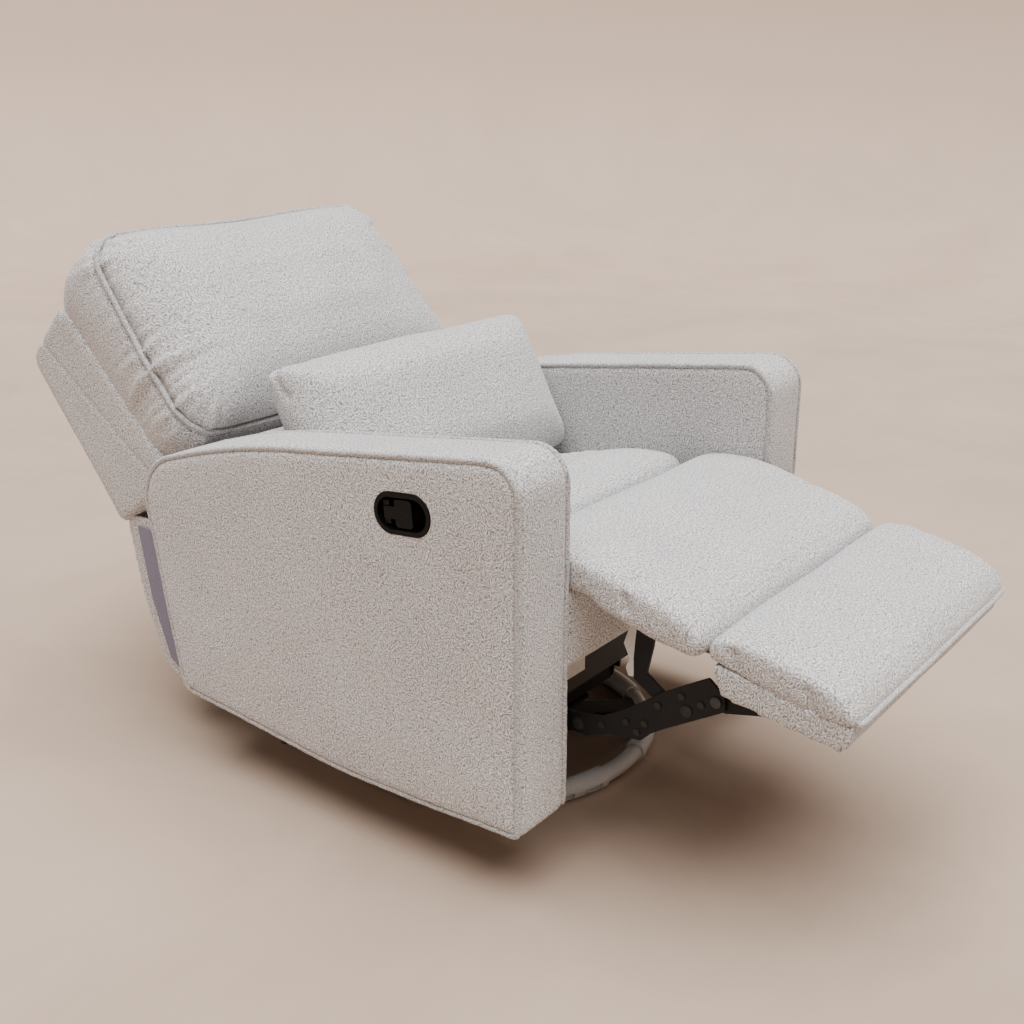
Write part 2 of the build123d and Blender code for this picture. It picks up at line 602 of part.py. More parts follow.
pivot_dy = PIVOT[0] - BACK_CORNER[0]
pivot_dz = PIVOT[1] - BACK_CORNER[1]
lean = math.radians(RECLINE)
pivot_up = pivot_dy * math.sin(lean) + pivot_dz * math.cos(lean)
pivot_forward = -pivot_dy * math.cos(lean) + pivot_dz * math.sin(lean)
ear = 18
bracket_points = [(pivot_forward - ear, pivot_up - ear), (pivot_forward + ear, pivot_up - ear),
                  (pivot_forward + ear, pivot_up + ear), (38, 110), (38, 300), (4, 300), (4, 90)]
bracket = back_slab(bracket_points, BRACKET_X, BRACKET_X + BRACKET_THICKNESS, 8)
bracket += bar_x(PIVOT_PIN_RADIUS, PIVOT[0], PIVOT[1], BRACKET_X + 1, RAIL_OUT + 5)
nodes["back_brackets"] = group(both_sides(bracket))
STILE_IN = BRACKET_X + BRACKET_THICKNESS
FRAME_LOW = 145.2
FRAME_HIGH = 456
stile_points = [(-20, FRAME_LOW), (30, FRAME_LOW), (30, FRAME_HIGH), (-20, FRAME_HIGH)]
stiles = both_sides(back_slab(stile_points, STILE_IN, STILE_IN + 20, 2))
top_points = [(-20, FRAME_HIGH - 30), (30, FRAME_HIGH - 30), (30, FRAME_HIGH), (-20, FRAME_HIGH)]
top_bar = back_slab(top_points, -STILE_IN, STILE_IN, 2)
low_points = [(-20, FRAME_LOW), (2, FRAME_LOW), (2, FRAME_LOW + 33), (-20, FRAME_LOW + 33)]
low_bar = back_slab(low_points, -STILE_IN, STILE_IN, 2)
nodes["back_frame"] = group(stiles + [top_bar, low_bar])
nodes["lumbar_board"] = back_slab([(26, -4), (39, -4), (39, 116), (26, 116)], -BRACKET_X, BRACKET_X, 2)

cushion_height = CUSHION_HIGH - CUSHION_LOW
cushion_depth = CUSHION_SEAM - CUSHION_REAR
cushion_width = 2 * BACK_HALF_WIDTH
back_cushion = soft_loft(cushion_width, cushion_height, cushion_depth, CUSHION_CROWN, CUSHION_REACH, 54, 12)
stand = Pos(0, -CUSHION_REAR, (CUSHION_LOW + CUSHION_HIGH) / 2) * Rot(90, 0, 0)
nodes["back_cushion"] = lay_back(stand * back_cushion)
lumbar = soft_loft(2 * LUMBAR_HALF_WIDTH, LUMBAR_HEIGHT, 72, 84, 38, 20, 6)
nodes["lumbar_pad"] = lay_back(Pos(0, -39.4, 58) * Rot(90, 0, 0) * lumbar)

# Loose pillow: thin pinched edge all round, full in the middle
half_rows = []
for angle in CROWN_ANGLES:
    turn = math.radians(angle)
    half_rows.append((PILLOW_THICKNESS / 2 * math.sin(turn), 70 * (1 - math.cos(turn))))
pillow_rows = [(-h, d) for h, d in reversed(half_rows)] + [(0, 0)] + half_rows
pillow_sections = []
for height, drawn in pillow_rows:
    pillow_face = RectangleRounded(PILLOW_WIDTH - 2 * drawn, PILLOW_HEIGHT - 2 * drawn, 14)
    pillow_sections.append(Pos(0, 0, height) * pillow_face)
pillow = loft(pillow_sections)
pillow_turn = Rot(0, 0, -PILLOW_YAW) * Rot(0, -PILLOW_ROLL, 0) * Rot(-PILLOW_LEAN, 0, 0)
nodes["pillow"] = Pos(*PILLOW_CENTRE) * pillow_turn * Rot(90, 0, 0) * pillow

# Footrest linkage: thighs on a drive tube, ottoman links, cranks and guards
thigh_points = [(SHOULDER[0] + 20, SHOULDER[1] + 16), (SHOULDER[0] + 18, SHOULDER[1] - 22),
                (KNEE[0] - 13, KNEE[1] - 14), (KNEE[0] - 13, KNEE[1] + 13),
                (SHOULDER[0] - 16, SHOULDER[1] + 22)]
thigh = plain_slab(thigh_points, THIGH_X, THIGH_X + PLATE_THICKNESS, 11)
thigh -= hole_x(KNEE_PIN_RADIUS + RUNNING_CLEARANCE, KNEE[0], KNEE[1])
thighs = bar_x(DRIVE_TUBE_RADIUS, SHOULDER[0], SHOULDER[1], -THIGH_X - 3, THIGH_X + 3)
for piece in both_sides(thigh):
    thighs += piece
nodes["thigh_links"] = thighs

ottoman_points = [(-391, 224), (-416, 223), (-452, 236), (-480, 240), (-498, 243),
                  (-513, 258), (-531, 270), (-612, 319), (-610, 338), (-588, 356),
                  (-532, 322), (-468, 274), (-440, 258), (-391, 249)]
ottoman = plain_slab(ottoman_points, OTTOMAN_X, OTTOMAN_X + PLATE_THICKNESS, 4)
crank_points = [(-484, 392), (-510, 392), (-508, 372), (-500, 334),
                (-543, 305), (-532, 290), (-482, 322), (-481, 350)]
crank = plain_slab(crank_points, CRANK_X, CRANK_X + PLATE_THICKNESS, 3)
crank += bar_x(5, -524, 304, CRANK_X + 1, OTTOMAN_X)
nodes["bent_cranks"] = group(both_sides(crank))
guard_points = [(-474, 391), (-483.6, 391), (-480.6, 350), (-481.6, 324),
                (-474, 324), (-470, 334), (-475, 348), (-466, 366)]
guard = plain_slab(guard_points, CRANK_X, CRANK_X + PLATE_THICKNESS, 2)
nodes["crank_guards"] = group(both_sides(guard))

link_out = OTTOMAN_X + PLATE_THICKNESS
link_pins = []
knee_pin = bar_x(KNEE_PIN_RADIUS, KNEE[0], KNEE[1], THIGH_X - 1, link_out)
knee_pin += bar_x(9, KNEE[0], KNEE[1], THIGH_X + PLATE_THICKNESS + BODY_GAP, OTTOMAN_X)
knee_pin += bar_x(8.5, KNEE[0], KNEE[1], link_out, link_out + 1)
knee_pin += bar_x(5.5, KNEE[0], KNEE[1], link_out, link_out + 3)
ankle_pin = bar_x(ANKLE_PIN_RADIUS, ANKLE[0], ANKLE[1], CRANK_X - 1, link_out)
ankle_pin += bar_x(7, ANKLE[0], ANKLE[1], link_out, link_out + 2.4)
link_pins += both_sides(knee_pin)
link_pins += both_sides(ankle_pin)
ottoman -= hole_x(KNEE_PIN_RADIUS, KNEE[0], KNEE[1])
ottoman -= hole_x(ANKLE_PIN_RADIUS, ANKLE[0], ANKLE[1])
nodes["ottoman_links"] = group(both_sides(ottoman))
nodes["link_pins"] = group(link_pins)
RIVET_POINTS = [(-440, 246), (-476, 262), (-492, 253), (-503, 268),
                (-521, 299), (-553, 321), (-561, 304), (-580, 318)]
rivets = []
for y, z in RIVET_POINTS:
    head = 7.5 if (y, z) == (-561, 304) else 4.5
    rivets += both_sides(bar_x(head, y, z, link_out, link_out + 2))
nodes["link_rivets"] = group(rivets)

# Footrest: brackets, cloth covered board and pad
board_points = sloped([(5, -0.4), (FOOT_LENGTH, -0.4), (FOOT_LENGTH, -30), (FOOT_LENGTH - 9, -38), (26, -38)],
                      FOOT_START, FOOT_SLOPE)
nodes["footrest_board"] = plain_slab(board_points, -FOOT_HALF_WIDTH + 4, FOOT_HALF_WIDTH - 4, 5)
foot_place = Pos(0, FOOT_START[0], FOOT_START[1]) * Rot(FOOT_SLOPE, 0, 0)
foot_pad = soft_loft(2 * FOOT_HALF_WIDTH, FOOT_LENGTH, 20, 20, 52, 20)
nodes["footrest_pad"] = foot_place * Pos(0, -FOOT_LENGTH / 2, 0) * foot_pad
bracket_side = sloped([(6, -66), (30, -66), (96, -38.4), (27, -38.4), (6, -46)], FOOT_START, FOOT_SLOPE)
foot_bracket = plain_slab(bracket_side, CRANK_X, CRANK_X + PLATE_THICKNESS, 3)
foot_bracket -= hole_x(ANKLE_PIN_RADIUS + RUNNING_CLEARANCE, ANKLE[0], ANKLE[1])
nodes["footrest_brackets"] = group(both_sides(foot_bracket))

# Flap: the moving front part of the long leg pad on its board
flap_end = FLAP_LENGTH - 6
flap_board_points = sloped([(3, -6), (flap_end, -6), (flap_end, -0.6), (3, -0.6)], FLAP_HINGE, FLAP_SLOPE)
flap_board = plain_slab(flap_board_points, -SEAT_HALF_WIDTH + 6, SEAT_HALF_WIDTH - 6, 1.5)
strap_hole = plain_slab(sloped([(-20, -30), (24, -30), (24, 20), (-20, 20)], FLAP_HINGE, FLAP_SLOPE),
                        STRAP_X - 2, STRAP_X + STRAP_WIDTH + 2)
tongue = plain_slab(sloped([(-1, -3.6), (12, -3.6), (12, -0.7), (-1, -0.7)], FLAP_HINGE, FLAP_SLOPE),
                    STRAP_X - 18, STRAP_X - 2, 1)
tongue += bar_x(FLAP_PIN_RADIUS, FLAP_HINGE[0], FLAP_HINGE[1], STRAP_X - 18, STRAP_X + STRAP_WIDTH + 1)
for piece in both_sides(strap_hole):
    flap_board -= piece
for piece in both_sides(tongue):
    flap_board += piece
nodes["flap_board"] = flap_board
strap_points = [(FLAP_HINGE[0] - 3.3, FLAP_HINGE[1] + 2), (FLAP_HINGE[0] - 3.3, FLAP_HINGE[1] - 2.6),
                (FLAP_HINGE[0], FLAP_HINGE[1] - 4), (FRONT_FACE - 0.3, FLAP_HINGE[1] - 22),
                (FRONT_FACE - 0.3, FLAP_HINGE[1] - 8), (FLAP_HINGE[0] + 3.4, FLAP_HINGE[1] + 1),
                (FLAP_HINGE[0] + 2, FLAP_HINGE[1] + 3.3), (FLAP_HINGE[0] - 2, FLAP_HINGE[1] + 3.3)]
strap = plain_slab(strap_points, STRAP_X, STRAP_X + STRAP_WIDTH, 0.8)
strap -= hole_x(FLAP_PIN_RADIUS + RUNNING_CLEARANCE, FLAP_HINGE[0], FLAP_HINGE[1])
nodes["flap_straps"] = group(both_sides(strap))
flap_pad = soft_loft(2 * SEAT_HALF_WIDTH, FLAP_LENGTH, 20, 21, 44, 16)
flap_place = Pos(0, FLAP_HINGE[0], FLAP_HINGE[1]) * Rot(FLAP_SLOPE, 0, 0)
nodes["flap_pad"] = flap_place * Pos(0, -FLAP_LENGTH / 2 - 2.4, 0) * flap_pad

# Move the whole chair so the middle of its box is over the origin and the floor at zero, then write it
low = min(shape.bounding_box().min.Y for shape in nodes.values())
high = max(shape.bounding_box().max.Y for shape in nodes.values())
shift = -(low + high) / 2
print("moved by", round(shift, 3), "from", round(low, 2), "to", round(high, 2))
for name, shape in nodes.items():
    export_step(Pos(0, shift, -FLOOR) * shape, f"parts/{name}.step")
    print(name, len(shape.solids()), round(shape.volume))
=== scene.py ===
# %% [markdown]
# A recliner that swivels and glides, shown laid back with its footrest out.
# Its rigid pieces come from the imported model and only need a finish. Its padded pieces are made
# again here, because foam under cloth has no sharp edges and a plain solid shows no creases.

# %% Load the frame
import json
import math
import bmesh
import bpy
import numpy as np
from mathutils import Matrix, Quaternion, Vector, noise
from mathutils.bvhtree import BVHTree
from mathutils.kdtree import KDTree


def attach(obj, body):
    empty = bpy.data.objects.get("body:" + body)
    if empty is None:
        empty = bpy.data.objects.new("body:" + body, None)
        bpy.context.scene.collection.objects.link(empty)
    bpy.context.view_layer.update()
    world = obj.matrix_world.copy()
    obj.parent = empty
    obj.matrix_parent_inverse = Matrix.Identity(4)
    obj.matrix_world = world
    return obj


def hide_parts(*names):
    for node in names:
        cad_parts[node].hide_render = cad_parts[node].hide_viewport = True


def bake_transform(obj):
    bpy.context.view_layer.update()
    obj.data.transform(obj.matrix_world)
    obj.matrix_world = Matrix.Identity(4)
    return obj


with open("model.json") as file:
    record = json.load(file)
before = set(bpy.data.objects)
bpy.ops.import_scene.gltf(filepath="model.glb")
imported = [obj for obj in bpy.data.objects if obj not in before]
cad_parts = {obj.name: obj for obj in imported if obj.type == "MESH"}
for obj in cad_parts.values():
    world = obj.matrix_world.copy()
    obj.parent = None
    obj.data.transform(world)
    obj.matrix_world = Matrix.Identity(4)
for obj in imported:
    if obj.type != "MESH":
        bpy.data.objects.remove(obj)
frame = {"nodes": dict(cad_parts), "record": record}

scene = bpy.context.scene
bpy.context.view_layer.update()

# %% [markdown]
# Outlines below are drawn in millimetres, with the front of the chair towards -Y. The frame knows
# where the back's hinge is, so the whole drawing hangs on that one point.

# %% Drawing in millimetres
MM_PER_M = 1000
DRAWN_HINGE = (140, 340)
joint_at = {j["name"]: j["pos_m"] for j in frame["record"]["behaviour"]["joints"]}
origin_y = joint_at["back_recline"][1] - DRAWN_HINGE[0] / MM_PER_M
origin_z = joint_at["back_recline"][2] - DRAWN_HINGE[1] / MM_PER_M


def place(x, y, z):
    """A point of the drawing, which has the back's hinge at DRAWN_HINGE in (y, z), in metres."""
    return Vector((x / MM_PER_M, y / MM_PER_M + origin_y, z / MM_PER_M + origin_z))


print("drawing starts at", round(origin_y, 3), round(origin_z, 3))

# %% [markdown]
# The camera stands in front of the handle side, a little above the arms.
# Its place and lens were read from straight edges of the chair, so it comes before the pieces.

# %% Camera
CAMERA_PLACE = (-1476, -1236, 1041)
CAMERA_LENS = 45.35
FILM_WIDTH = 36
CAMERA_TILT = math.radians(70.89)
CAMERA_TURN = math.radians(-52.75)
camera_data = bpy.data.cameras.new("camera")
camera_data.lens = CAMERA_LENS
camera_data.sensor_width = FILM_WIDTH
camera = bpy.data.objects.new("camera", camera_data)
camera.location = place(*CAMERA_PLACE)
camera.rotation_euler = (CAMERA_TILT, 0, CAMERA_TURN)
scene.collection.objects.link(camera)
scene.camera = camera
print("camera at", tuple(round(v, 3) for v in camera.location))

# %% [markdown]
# A finish is a node tree. All finishes here start the same way, with a Principled shader, so one
# helper makes it and hands back two short tools: one adds a node, the other joins two sockets.
# Nearly every surface has two tones, so a second helper makes the ramp between them.

# %% Start of a finish


def new_finish(name, roughness, metallic=0.0):
    """A material, its shader, and the tools that add and join nodes in its tree."""
    material = bpy.data.materials.new(name)
    material.use_nodes = True
    tree = material.node_tree
    shader = tree.nodes["Principled BSDF"]
    shader.inputs["Roughness"].default_value = roughness
    shader.inputs["Metallic"].default_value = metallic

    def add(kind, **values):
        """A node of this kind; each value goes to the socket or the setting of that name."""
        node = tree.nodes.new(kind)
        for key, value in values.items():
            if key in node.inputs:
                node.inputs[key].default_value = value
            else:
                setattr(node, key, value)
        return node

    return material, shader, add, tree.links.new


def two_tones(add, link, source, stops, tones):
    """A ramp from a dark to a light colour, driven by a socket."""
    ramp = add("ShaderNodeValToRGB")
    for number in (0, 1):
        ramp.color_ramp.elements[number].position = stops[number]
        ramp.color_ramp.elements[number].color = (*tones[number], 1)
    link(source, ramp.inputs["Fac"])
    return ramp.outputs["Color"]


print("finish tools ready")

# %% [markdown]
# The upholstery is a heathered weave of short, thick yarns that lie in small bundles at all angles.
# Modelling every yarn would take millions of faces, so the yarns are a pattern of nodes.
# The cloth is divided into cells by a UV map in metres, so a yarn has the same size on every piece.
# A random number turns each cell's yarns, and a noise bends the whole grid so that no line runs
# straight. A finer noise breaks the yarns up into fuzz.

# %% Yarns
YARN_CELL = 0.0064
YARNS_PER_CELL = 2
GRID_WANDER = 1.3
FUZZ_GAIN = 1.45
FUZZ_BASE = -0.225
YARN_HEIGHT = 0.27


def scaled(add, link, source, gain, base):
    """The socket of source * gain + base, where base is a number or another socket."""
    node = add("ShaderNodeMath", operation="MULTIPLY_ADD")
    node.inputs[1].default_value = gain
    link(source, node.inputs[0])
    if isinstance(base, float):
        node.inputs[2].default_value = base
    else:
        link(base, node.inputs[2])
    return node.outputs[0]


def yarns(add, link, weave_map):
    """The socket that holds the height of the yarns over a weave map."""
    grid = add("ShaderNodeMapping", Scale=(1 / YARN_CELL, 1 / YARN_CELL, 1))
    link(weave_map, grid.inputs["Vector"])
    wander = add("ShaderNodeTexNoise", Scale=0.9, Detail=1.0)
    link(grid.outputs["Vector"], wander.inputs["Vector"])
    bent = add("ShaderNodeVectorMath", operation="MULTIPLY_ADD")
    bent.inputs[1].default_value = (GRID_WANDER, GRID_WANDER, 0)
    link(wander.outputs["Color"], bent.inputs[0])
    link(grid.outputs["Vector"], bent.inputs[2])
    cell = add("ShaderNodeVectorMath", operation="FLOOR")
    link(bent.outputs["Vector"], cell.inputs[0])
    chance = add("ShaderNodeTexWhiteNoise", noise_dimensions="2D")
    link(cell.outputs["Vector"], chance.inputs["Vector"])
    turned = add("ShaderNodeVectorRotate", rotation_type="Z_AXIS")
    link(bent.outputs["Vector"], turned.inputs["Vector"])
    link(scaled(add, link, chance.outputs["Value"], math.pi, 0.0), turned.inputs["Angle"])
    across = add("ShaderNodeSeparateXYZ")
    link(turned.outputs["Vector"], across.inputs["Vector"])
    yarn = add("ShaderNodeMath", operation="SINE")
    link(scaled(add, link, across.outputs["X"], 2 * math.pi * YARNS_PER_CELL, 0.0), yarn.inputs[0])
    fuzz = add("ShaderNodeTexNoise", Scale=1.9, Detail=2.0, Roughness=0.6)
    link(grid.outputs["Vector"], fuzz.inputs["Vector"])
    broken = scaled(add, link, fuzz.outputs["Fac"], FUZZ_GAIN, FUZZ_BASE)
    return scaled(add, link, yarn.outputs[0], YARN_HEIGHT, broken)


print("yarn cell", YARN_CELL, "m")

# %% [markdown]
# The yarns drive the bump of the cloth and also its colour. That colour is partly the weave's own mix of
# tones and partly painted shade: the gaps between the yarns are painted darker and their crests lighter. A
# broad noise makes some places a little paler, as on real cloth. The piping is the same cloth, painted
# darker as shade along the welts.

# %% Cloth
CLOTH_STOPS = (0.22, 0.94)
BROAD_SHARE = 0.14


def cloth_finish(name, dark, light):
    """Heathered cloth between two tones, with painted shade in the gaps between its yarns and a painted
    highlight on their crests.
    """
    material, shader, add, link = new_finish(name, roughness=0.95)
    shader.inputs["Sheen Weight"].default_value = 0.2
    shader.inputs["Sheen Roughness"].default_value = 0.5
    shader.inputs["Specular IOR Level"].default_value = 0.15
    coordinate = add("ShaderNodeTexCoord")
    height = yarns(add, link, coordinate.outputs["UV"])
    broad = add("ShaderNodeTexNoise", Scale=9.0, Detail=3.0)
    link(coordinate.outputs["Object"], broad.inputs["Vector"])
    total = scaled(add, link, broad.outputs["Fac"], BROAD_SHARE, height)
    # The yarn height sets the tone too: painted shade in the gaps between yarns and a painted highlight on
    # their crests.
    link(two_tones(add, link, total, CLOTH_STOPS, (dark, light)), shader.inputs["Base Color"])
    bump = add("ShaderNodeBump", Strength=0.7, Distance=0.0005)
    link(height, bump.inputs["Height"])
    link(bump.outputs["Normal"], shader.inputs["Normal"])
    return material


cloth = cloth_finish("heather_cloth", (0.190, 0.186, 0.185), (0.752, 0.737, 0.737))
# The piping's light tone is lower than the cloth's: painted shade along the welts.
piping_cloth_painted_shade = cloth_finish("piping_cloth_painted_shade", (0.205, 0.199, 0.198), (0.605, 0.593, 0.592))
print("cloth finishes", cloth.name, piping_cloth_painted_shade.name)

# %% [markdown]
# Painted steel is not one even colour: its coat has a fine grain and shines unevenly.
# One noise moves the colour, the roughness and the bump together. Plastic and timber are made the
# same way with other sizes, and timber has its noise stretched along the board.

# %% Grain for steel, plastic and timber
GRAIN_STOPS = (0.32, 0.70)
FINE_BUMP = 0.0001
SMOOTHER = 0.10
ROUGHER = 0.12
SMOOTHEST = 0.05


def grain_finish(name, dark, light, roughness, scale, bump_size=FINE_BUMP, metallic=0.0,
                 stretch=(1, 1, 1), shine=0.3):
    """A surface whose colour, roughness and height follow one noise."""
    material, shader, add, link = new_finish(name, roughness, metallic)
    shader.inputs["Specular IOR Level"].default_value = shine
    coordinate = add("ShaderNodeTexCoord")
    mapping = add("ShaderNodeMapping", Scale=stretch)
    link(coordinate.outputs["Object"], mapping.inputs["Vector"])
    grain = add("ShaderNodeTexNoise", Scale=scale, Detail=5.0, Roughness=0.6)
    link(mapping.outputs["Vector"], grain.inputs["Vector"])
    tone = two_tones(add, link, grain.outputs["Fac"], GRAIN_STOPS, (dark, light))
    link(tone, shader.inputs["Base Color"])
    rough = add("ShaderNodeMapRange")
    rough.inputs["To Min"].default_value = max(roughness - SMOOTHER, SMOOTHEST)
    rough.inputs["To Max"].default_value = min(roughness + ROUGHER, 1.0)
    link(grain.outputs["Fac"], rough.inputs["Value"])
    link(rough.outputs["Result"], shader.inputs["Roughness"])
    bump = add("ShaderNodeBump", Strength=0.3, Distance=bump_size)
    link(grain.outputs["Fac"], bump.inputs["Height"])
    link(bump.outputs["Normal"], shader.inputs["Normal"])
    return material


print("grain between", GRAIN_STOPS)

# %% Steel, plastic, timber and tape
black_steel = grain_finish("black_steel", (0.005, 0.005, 0.0055), (0.010, 0.010, 0.0105),
                           roughness=0.48, scale=900, shine=0.18)
ring_steel = grain_finish("grey_ring_steel", (0.34, 0.345, 0.35), (0.46, 0.465, 0.47),
                          roughness=0.38, scale=500)
black_plastic = grain_finish("black_plastic", (0.003, 0.003, 0.0033), (0.006, 0.006, 0.0064),
                             roughness=0.40, scale=700, shine=0.15)
handle_black = grain_finish("handle_black", (0.002, 0.002, 0.0022), (0.004, 0.004, 0.0042),
                            roughness=0.38, scale=300, bump_size=0.00005, shine=0.13)
grey_plastic = grain_finish("grey_plastic", (0.42, 0.41, 0.39), (0.55, 0.54, 0.51),
                            roughness=0.5, scale=400)
bright_steel = grain_finish("zinc_steel", (0.35, 0.35, 0.36), (0.55, 0.55, 0.55),
                            roughness=0.3, scale=800, metallic=1.0)
timber = grain_finish("pine_timber", (0.42, 0.28, 0.15), (0.62, 0.45, 0.27),
                      roughness=0.7, scale=40, bump_size=0.0006, stretch=(1, 1, 9))
dark_rivet = grain_finish("dark_rivet", (0.012, 0.012, 0.012), (0.022, 0.022, 0.022),
                          roughness=0.35, scale=600, metallic=0.3)
dull_pin = grain_finish("dull_pin", (0.03, 0.03, 0.03), (0.06, 0.06, 0.06),
                        roughness=0.35, scale=600, metallic=0.6)
woven_tape = grain_finish("purple_grey_tape", (0.125, 0.118, 0.160), (0.265, 0.255, 0.335),
                          roughness=0.9, scale=500, bump_size=0.0004, stretch=(1, 1, 3))
print("rigid finishes, from", black_steel.name, "to", woven_tape.name)

# %% [markdown]
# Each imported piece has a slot, which names what the piece is made of. A table turns the slot into a
# finish, so no piece is painted by hand. Only the rivets and pins of the links differ from the rest
# of their slot: they are steel too, but dull and dark, and stand out little from the black links.

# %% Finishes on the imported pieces
finish_of_slot = {
    "black_steel": black_steel,
    "ring_steel": ring_steel,
    "ring_plastic": ring_steel,
    "black_plastic": black_plastic,
    "handle_black": handle_black,
    "grey_plastic": grey_plastic,
    "bright_steel": bright_steel,
    "wood": timber,
    "tape": woven_tape,
    "cloth": cloth,
}
slot_of_node = {part["node"]: part["material_slot"] for part in frame["record"]["subparts"]}
for node_name, node in frame["nodes"].items():
    node.data.materials.clear()
    node.data.materials.append(finish_of_slot[slot_of_node[node_name]])
frame["nodes"]["link_rivets"].data.materials[0] = dark_rivet
frame["nodes"]["link_pins"].data.materials[0] = dull_pin
print("finishes on", len(slot_of_node), "nodes")

# %% [markdown]
# The padded pieces are shaped by moving the points of a mesh. Reading all points into one numpy
# array and writing them back is far quicker than a Python loop over vertices. A modifier's result
# is baked into a plain mesh, so that no piece depends on a live modifier.

# %% Mesh helpers


def add_object(name, mesh):
    obj = bpy.data.objects.new(name, mesh)
    scene.collection.objects.link(obj)
    return obj


def bake(obj):
    """Turns the modified shape into the object's plain mesh."""
    graph = bpy.context.evaluated_depsgraph_get()
    graph.update()
    mesh = bpy.data.meshes.new_from_object(obj.evaluated_get(graph))
    old = obj.data
    obj.modifiers.clear()
    obj.data = mesh
    mesh.name = obj.name
    bpy.data.meshes.remove(old)


def points_of(mesh):
    flat = np.empty(len(mesh.vertices) * 3)
    mesh.vertices.foreach_get("co", flat)
    return flat.reshape(-1, 3)


def normals_of(mesh):
    flat = np.empty(len(mesh.vertices) * 3)
    mesh.vertices.foreach_get("normal", flat)
    return flat.reshape(-1, 3)


def set_points(obj, points):
    obj.data.vertices.foreach_set("co", points.astype(np.float64).ravel())
    obj.data.update()


print("mesh helpers ready")

# %% [markdown]
# The arms and some of the pads are slabs: one side outline, carried across the chair. The outline is
# a few points, or a few corners with a radius each. A bevel rounds the rims of the slab.

# %% Slabs
FLAT = 1e-6


def rounded_outline(corners, steps):
    """Points of an outline with a round at each corner: corners are (y, z, radius)."""
    points = []
    for i, (y, z, radius) in enumerate(corners):
        here = Vector((y, z))
        back = (Vector(corners[i - 1][:2]) - here).normalized()
        ahead = (Vector(corners[(i + 1) % len(corners)][:2]) - here).normalized()
        half = back.angle(ahead) / 2
        middle = here + (back + ahead).normalized() * radius / math.sin(half)
        start = here + back * radius / math.tan(half)
        end = here + ahead * radius / math.tan(half)
        for k in range(steps + 1):
            point = start.lerp(end, k / steps) - middle
            points.append(tuple(middle + point.normalized() * radius))
    return points


def prism(name, outline, low_x, high_x, edge_round, steps=4):
    """A slab with the given side outline in millimetres, its rims rounded over."""
    shape = bmesh.new()
    near = [shape.verts.new(place(low_x, y, z)) for y, z in outline]
    far = [shape.verts.new(place(high_x, y, z)) for y, z in outline]
    shape.faces.new(near)
    shape.faces.new(far)
    count = len(outline)
    for i in range(count):
        k = (i + 1) % count
        shape.faces.new((near[i], near[k], far[k], far[i]))
    bmesh.ops.recalc_face_normals(shape, faces=shape.faces)
    rims = [e for e in shape.edges if abs(e.verts[0].co.x - e.verts[1].co.x) < FLAT]
    bmesh.ops.bevel(shape, geom=rims, offset=edge_round / MM_PER_M, segments=steps, profile=0.5,
                    affect="EDGES")
    bmesh.ops.triangulate(shape, faces=[f for f in shape.faces if len(f.verts) > 4])
    mesh = bpy.data.meshes.new(name)
    shape.to_mesh(mesh)
    shape.free()
    return add_object(name, mesh)


print("slab helpers ready")

# %% [markdown]
# A slab has long thin faces, which can't bend or swell. A voxel remesh cuts it into small even
# squares, and a few turns of smoothing take the steps out of them.

# %% Even squares


def voxels(obj, size, smooth):
    """Cuts a piece into even squares and softens them."""
    remesh = obj.modifiers.new("voxels", "REMESH")
    remesh.mode = "VOXEL"
    remesh.voxel_size = size
    soften = obj.modifiers.new("soften", "SMOOTH")
    soften.factor = 0.5
    soften.iterations = smooth
    bake(obj)


print("remesh helper ready")

# %% [markdown]
# A seam is a path on the skin of a piece. It is drawn roughly, moved to the nearest points of the
# skin and evened out, which is simpler than cutting the piece along the seam.

# %% Paths on a skin


def even_path(path, step, closed):
    """A path with evenly spaced points."""
    points = [Vector(p) for p in path]
    if closed:
        points.append(points[0])
    spots = [points[0]]
    left = step
    for a, b in zip(points, points[1:]):
        run = (b - a).length
        while run > 0 and left <= run:
            spots.append(a.lerp(b, left / run))
            left += step
        left -= run
    if not closed:
        spots.append(points[-1])
    return spots


def on_surface(obj, path, lift=0.0):
    """The nearest points of a piece's skin to a path, lifted off it by a little."""
    corners = [vert.co for vert in obj.data.vertices]
    skin = BVHTree.FromPolygons(corners, [face.vertices for face in obj.data.polygons])
    found = []
    for point in path:
        spot, normal = skin.find_nearest(Vector(point))[:2]
        found.append(spot + normal * lift)
    return found


def relax(path, closed, turns=3):
    """Evens out a snapped path."""
    points = np.array([tuple(p) for p in path])
    for turn in range(turns):
        before = np.roll(points, 1, axis=0)
        after = np.roll(points, -1, axis=0)
        mean = (before + after + 2 * points) / 4
        if not closed:
            mean[0] = points[0]
            mean[-1] = points[-1]
        points = mean
    return [Vector(p) for p in points]


print("path helpers ready")

# %% [markdown]
# The thread of a seam draws the cloth in, so points near the path sink a little.
# Stuffing is never even, so a soft noise moves the rest of the skin.

# %% Sewn lines and stuffing
SEED_STEPS = (1, 0.7, 0.3)


def tree_of(path):
    """The path as a tree that finds its nearest point."""
    tree = KDTree(len(path))
    for i, point in enumerate(path):
        tree.insert(point, i)
    tree.balance()
    return tree


def press_line(obj, path, depth, width):
    """Draws the cloth in along a sewn line."""
    tree = tree_of(path)
    points = points_of(obj.data)
    normals = normals_of(obj.data)
    near = np.array([tree.find(point)[2] for point in points])
    points -= normals * (depth * np.exp(-(near / width) ** 2))[:, None]
    set_points(obj, points)


def ripple(obj, height, scale, seed):
    """Uneven stuffing: moves points along their normals by a soft noise."""
    points = points_of(obj.data)
    normals = normals_of(obj.data)
    offset = Vector([seed * step for step in SEED_STEPS])
    lift = np.array([noise.noise(Vector(p * scale) + offset) for p in points]) * height
    points += normals * lift[:, None]
    set_points(obj, points)


print("sewing helpers ready")

# %% [markdown]
# The weave map is the UV map that the yarns read. A cut pattern would be truer, but the yarns have
# no direction, so each face is simply laid flat from the side that it looks towards most.


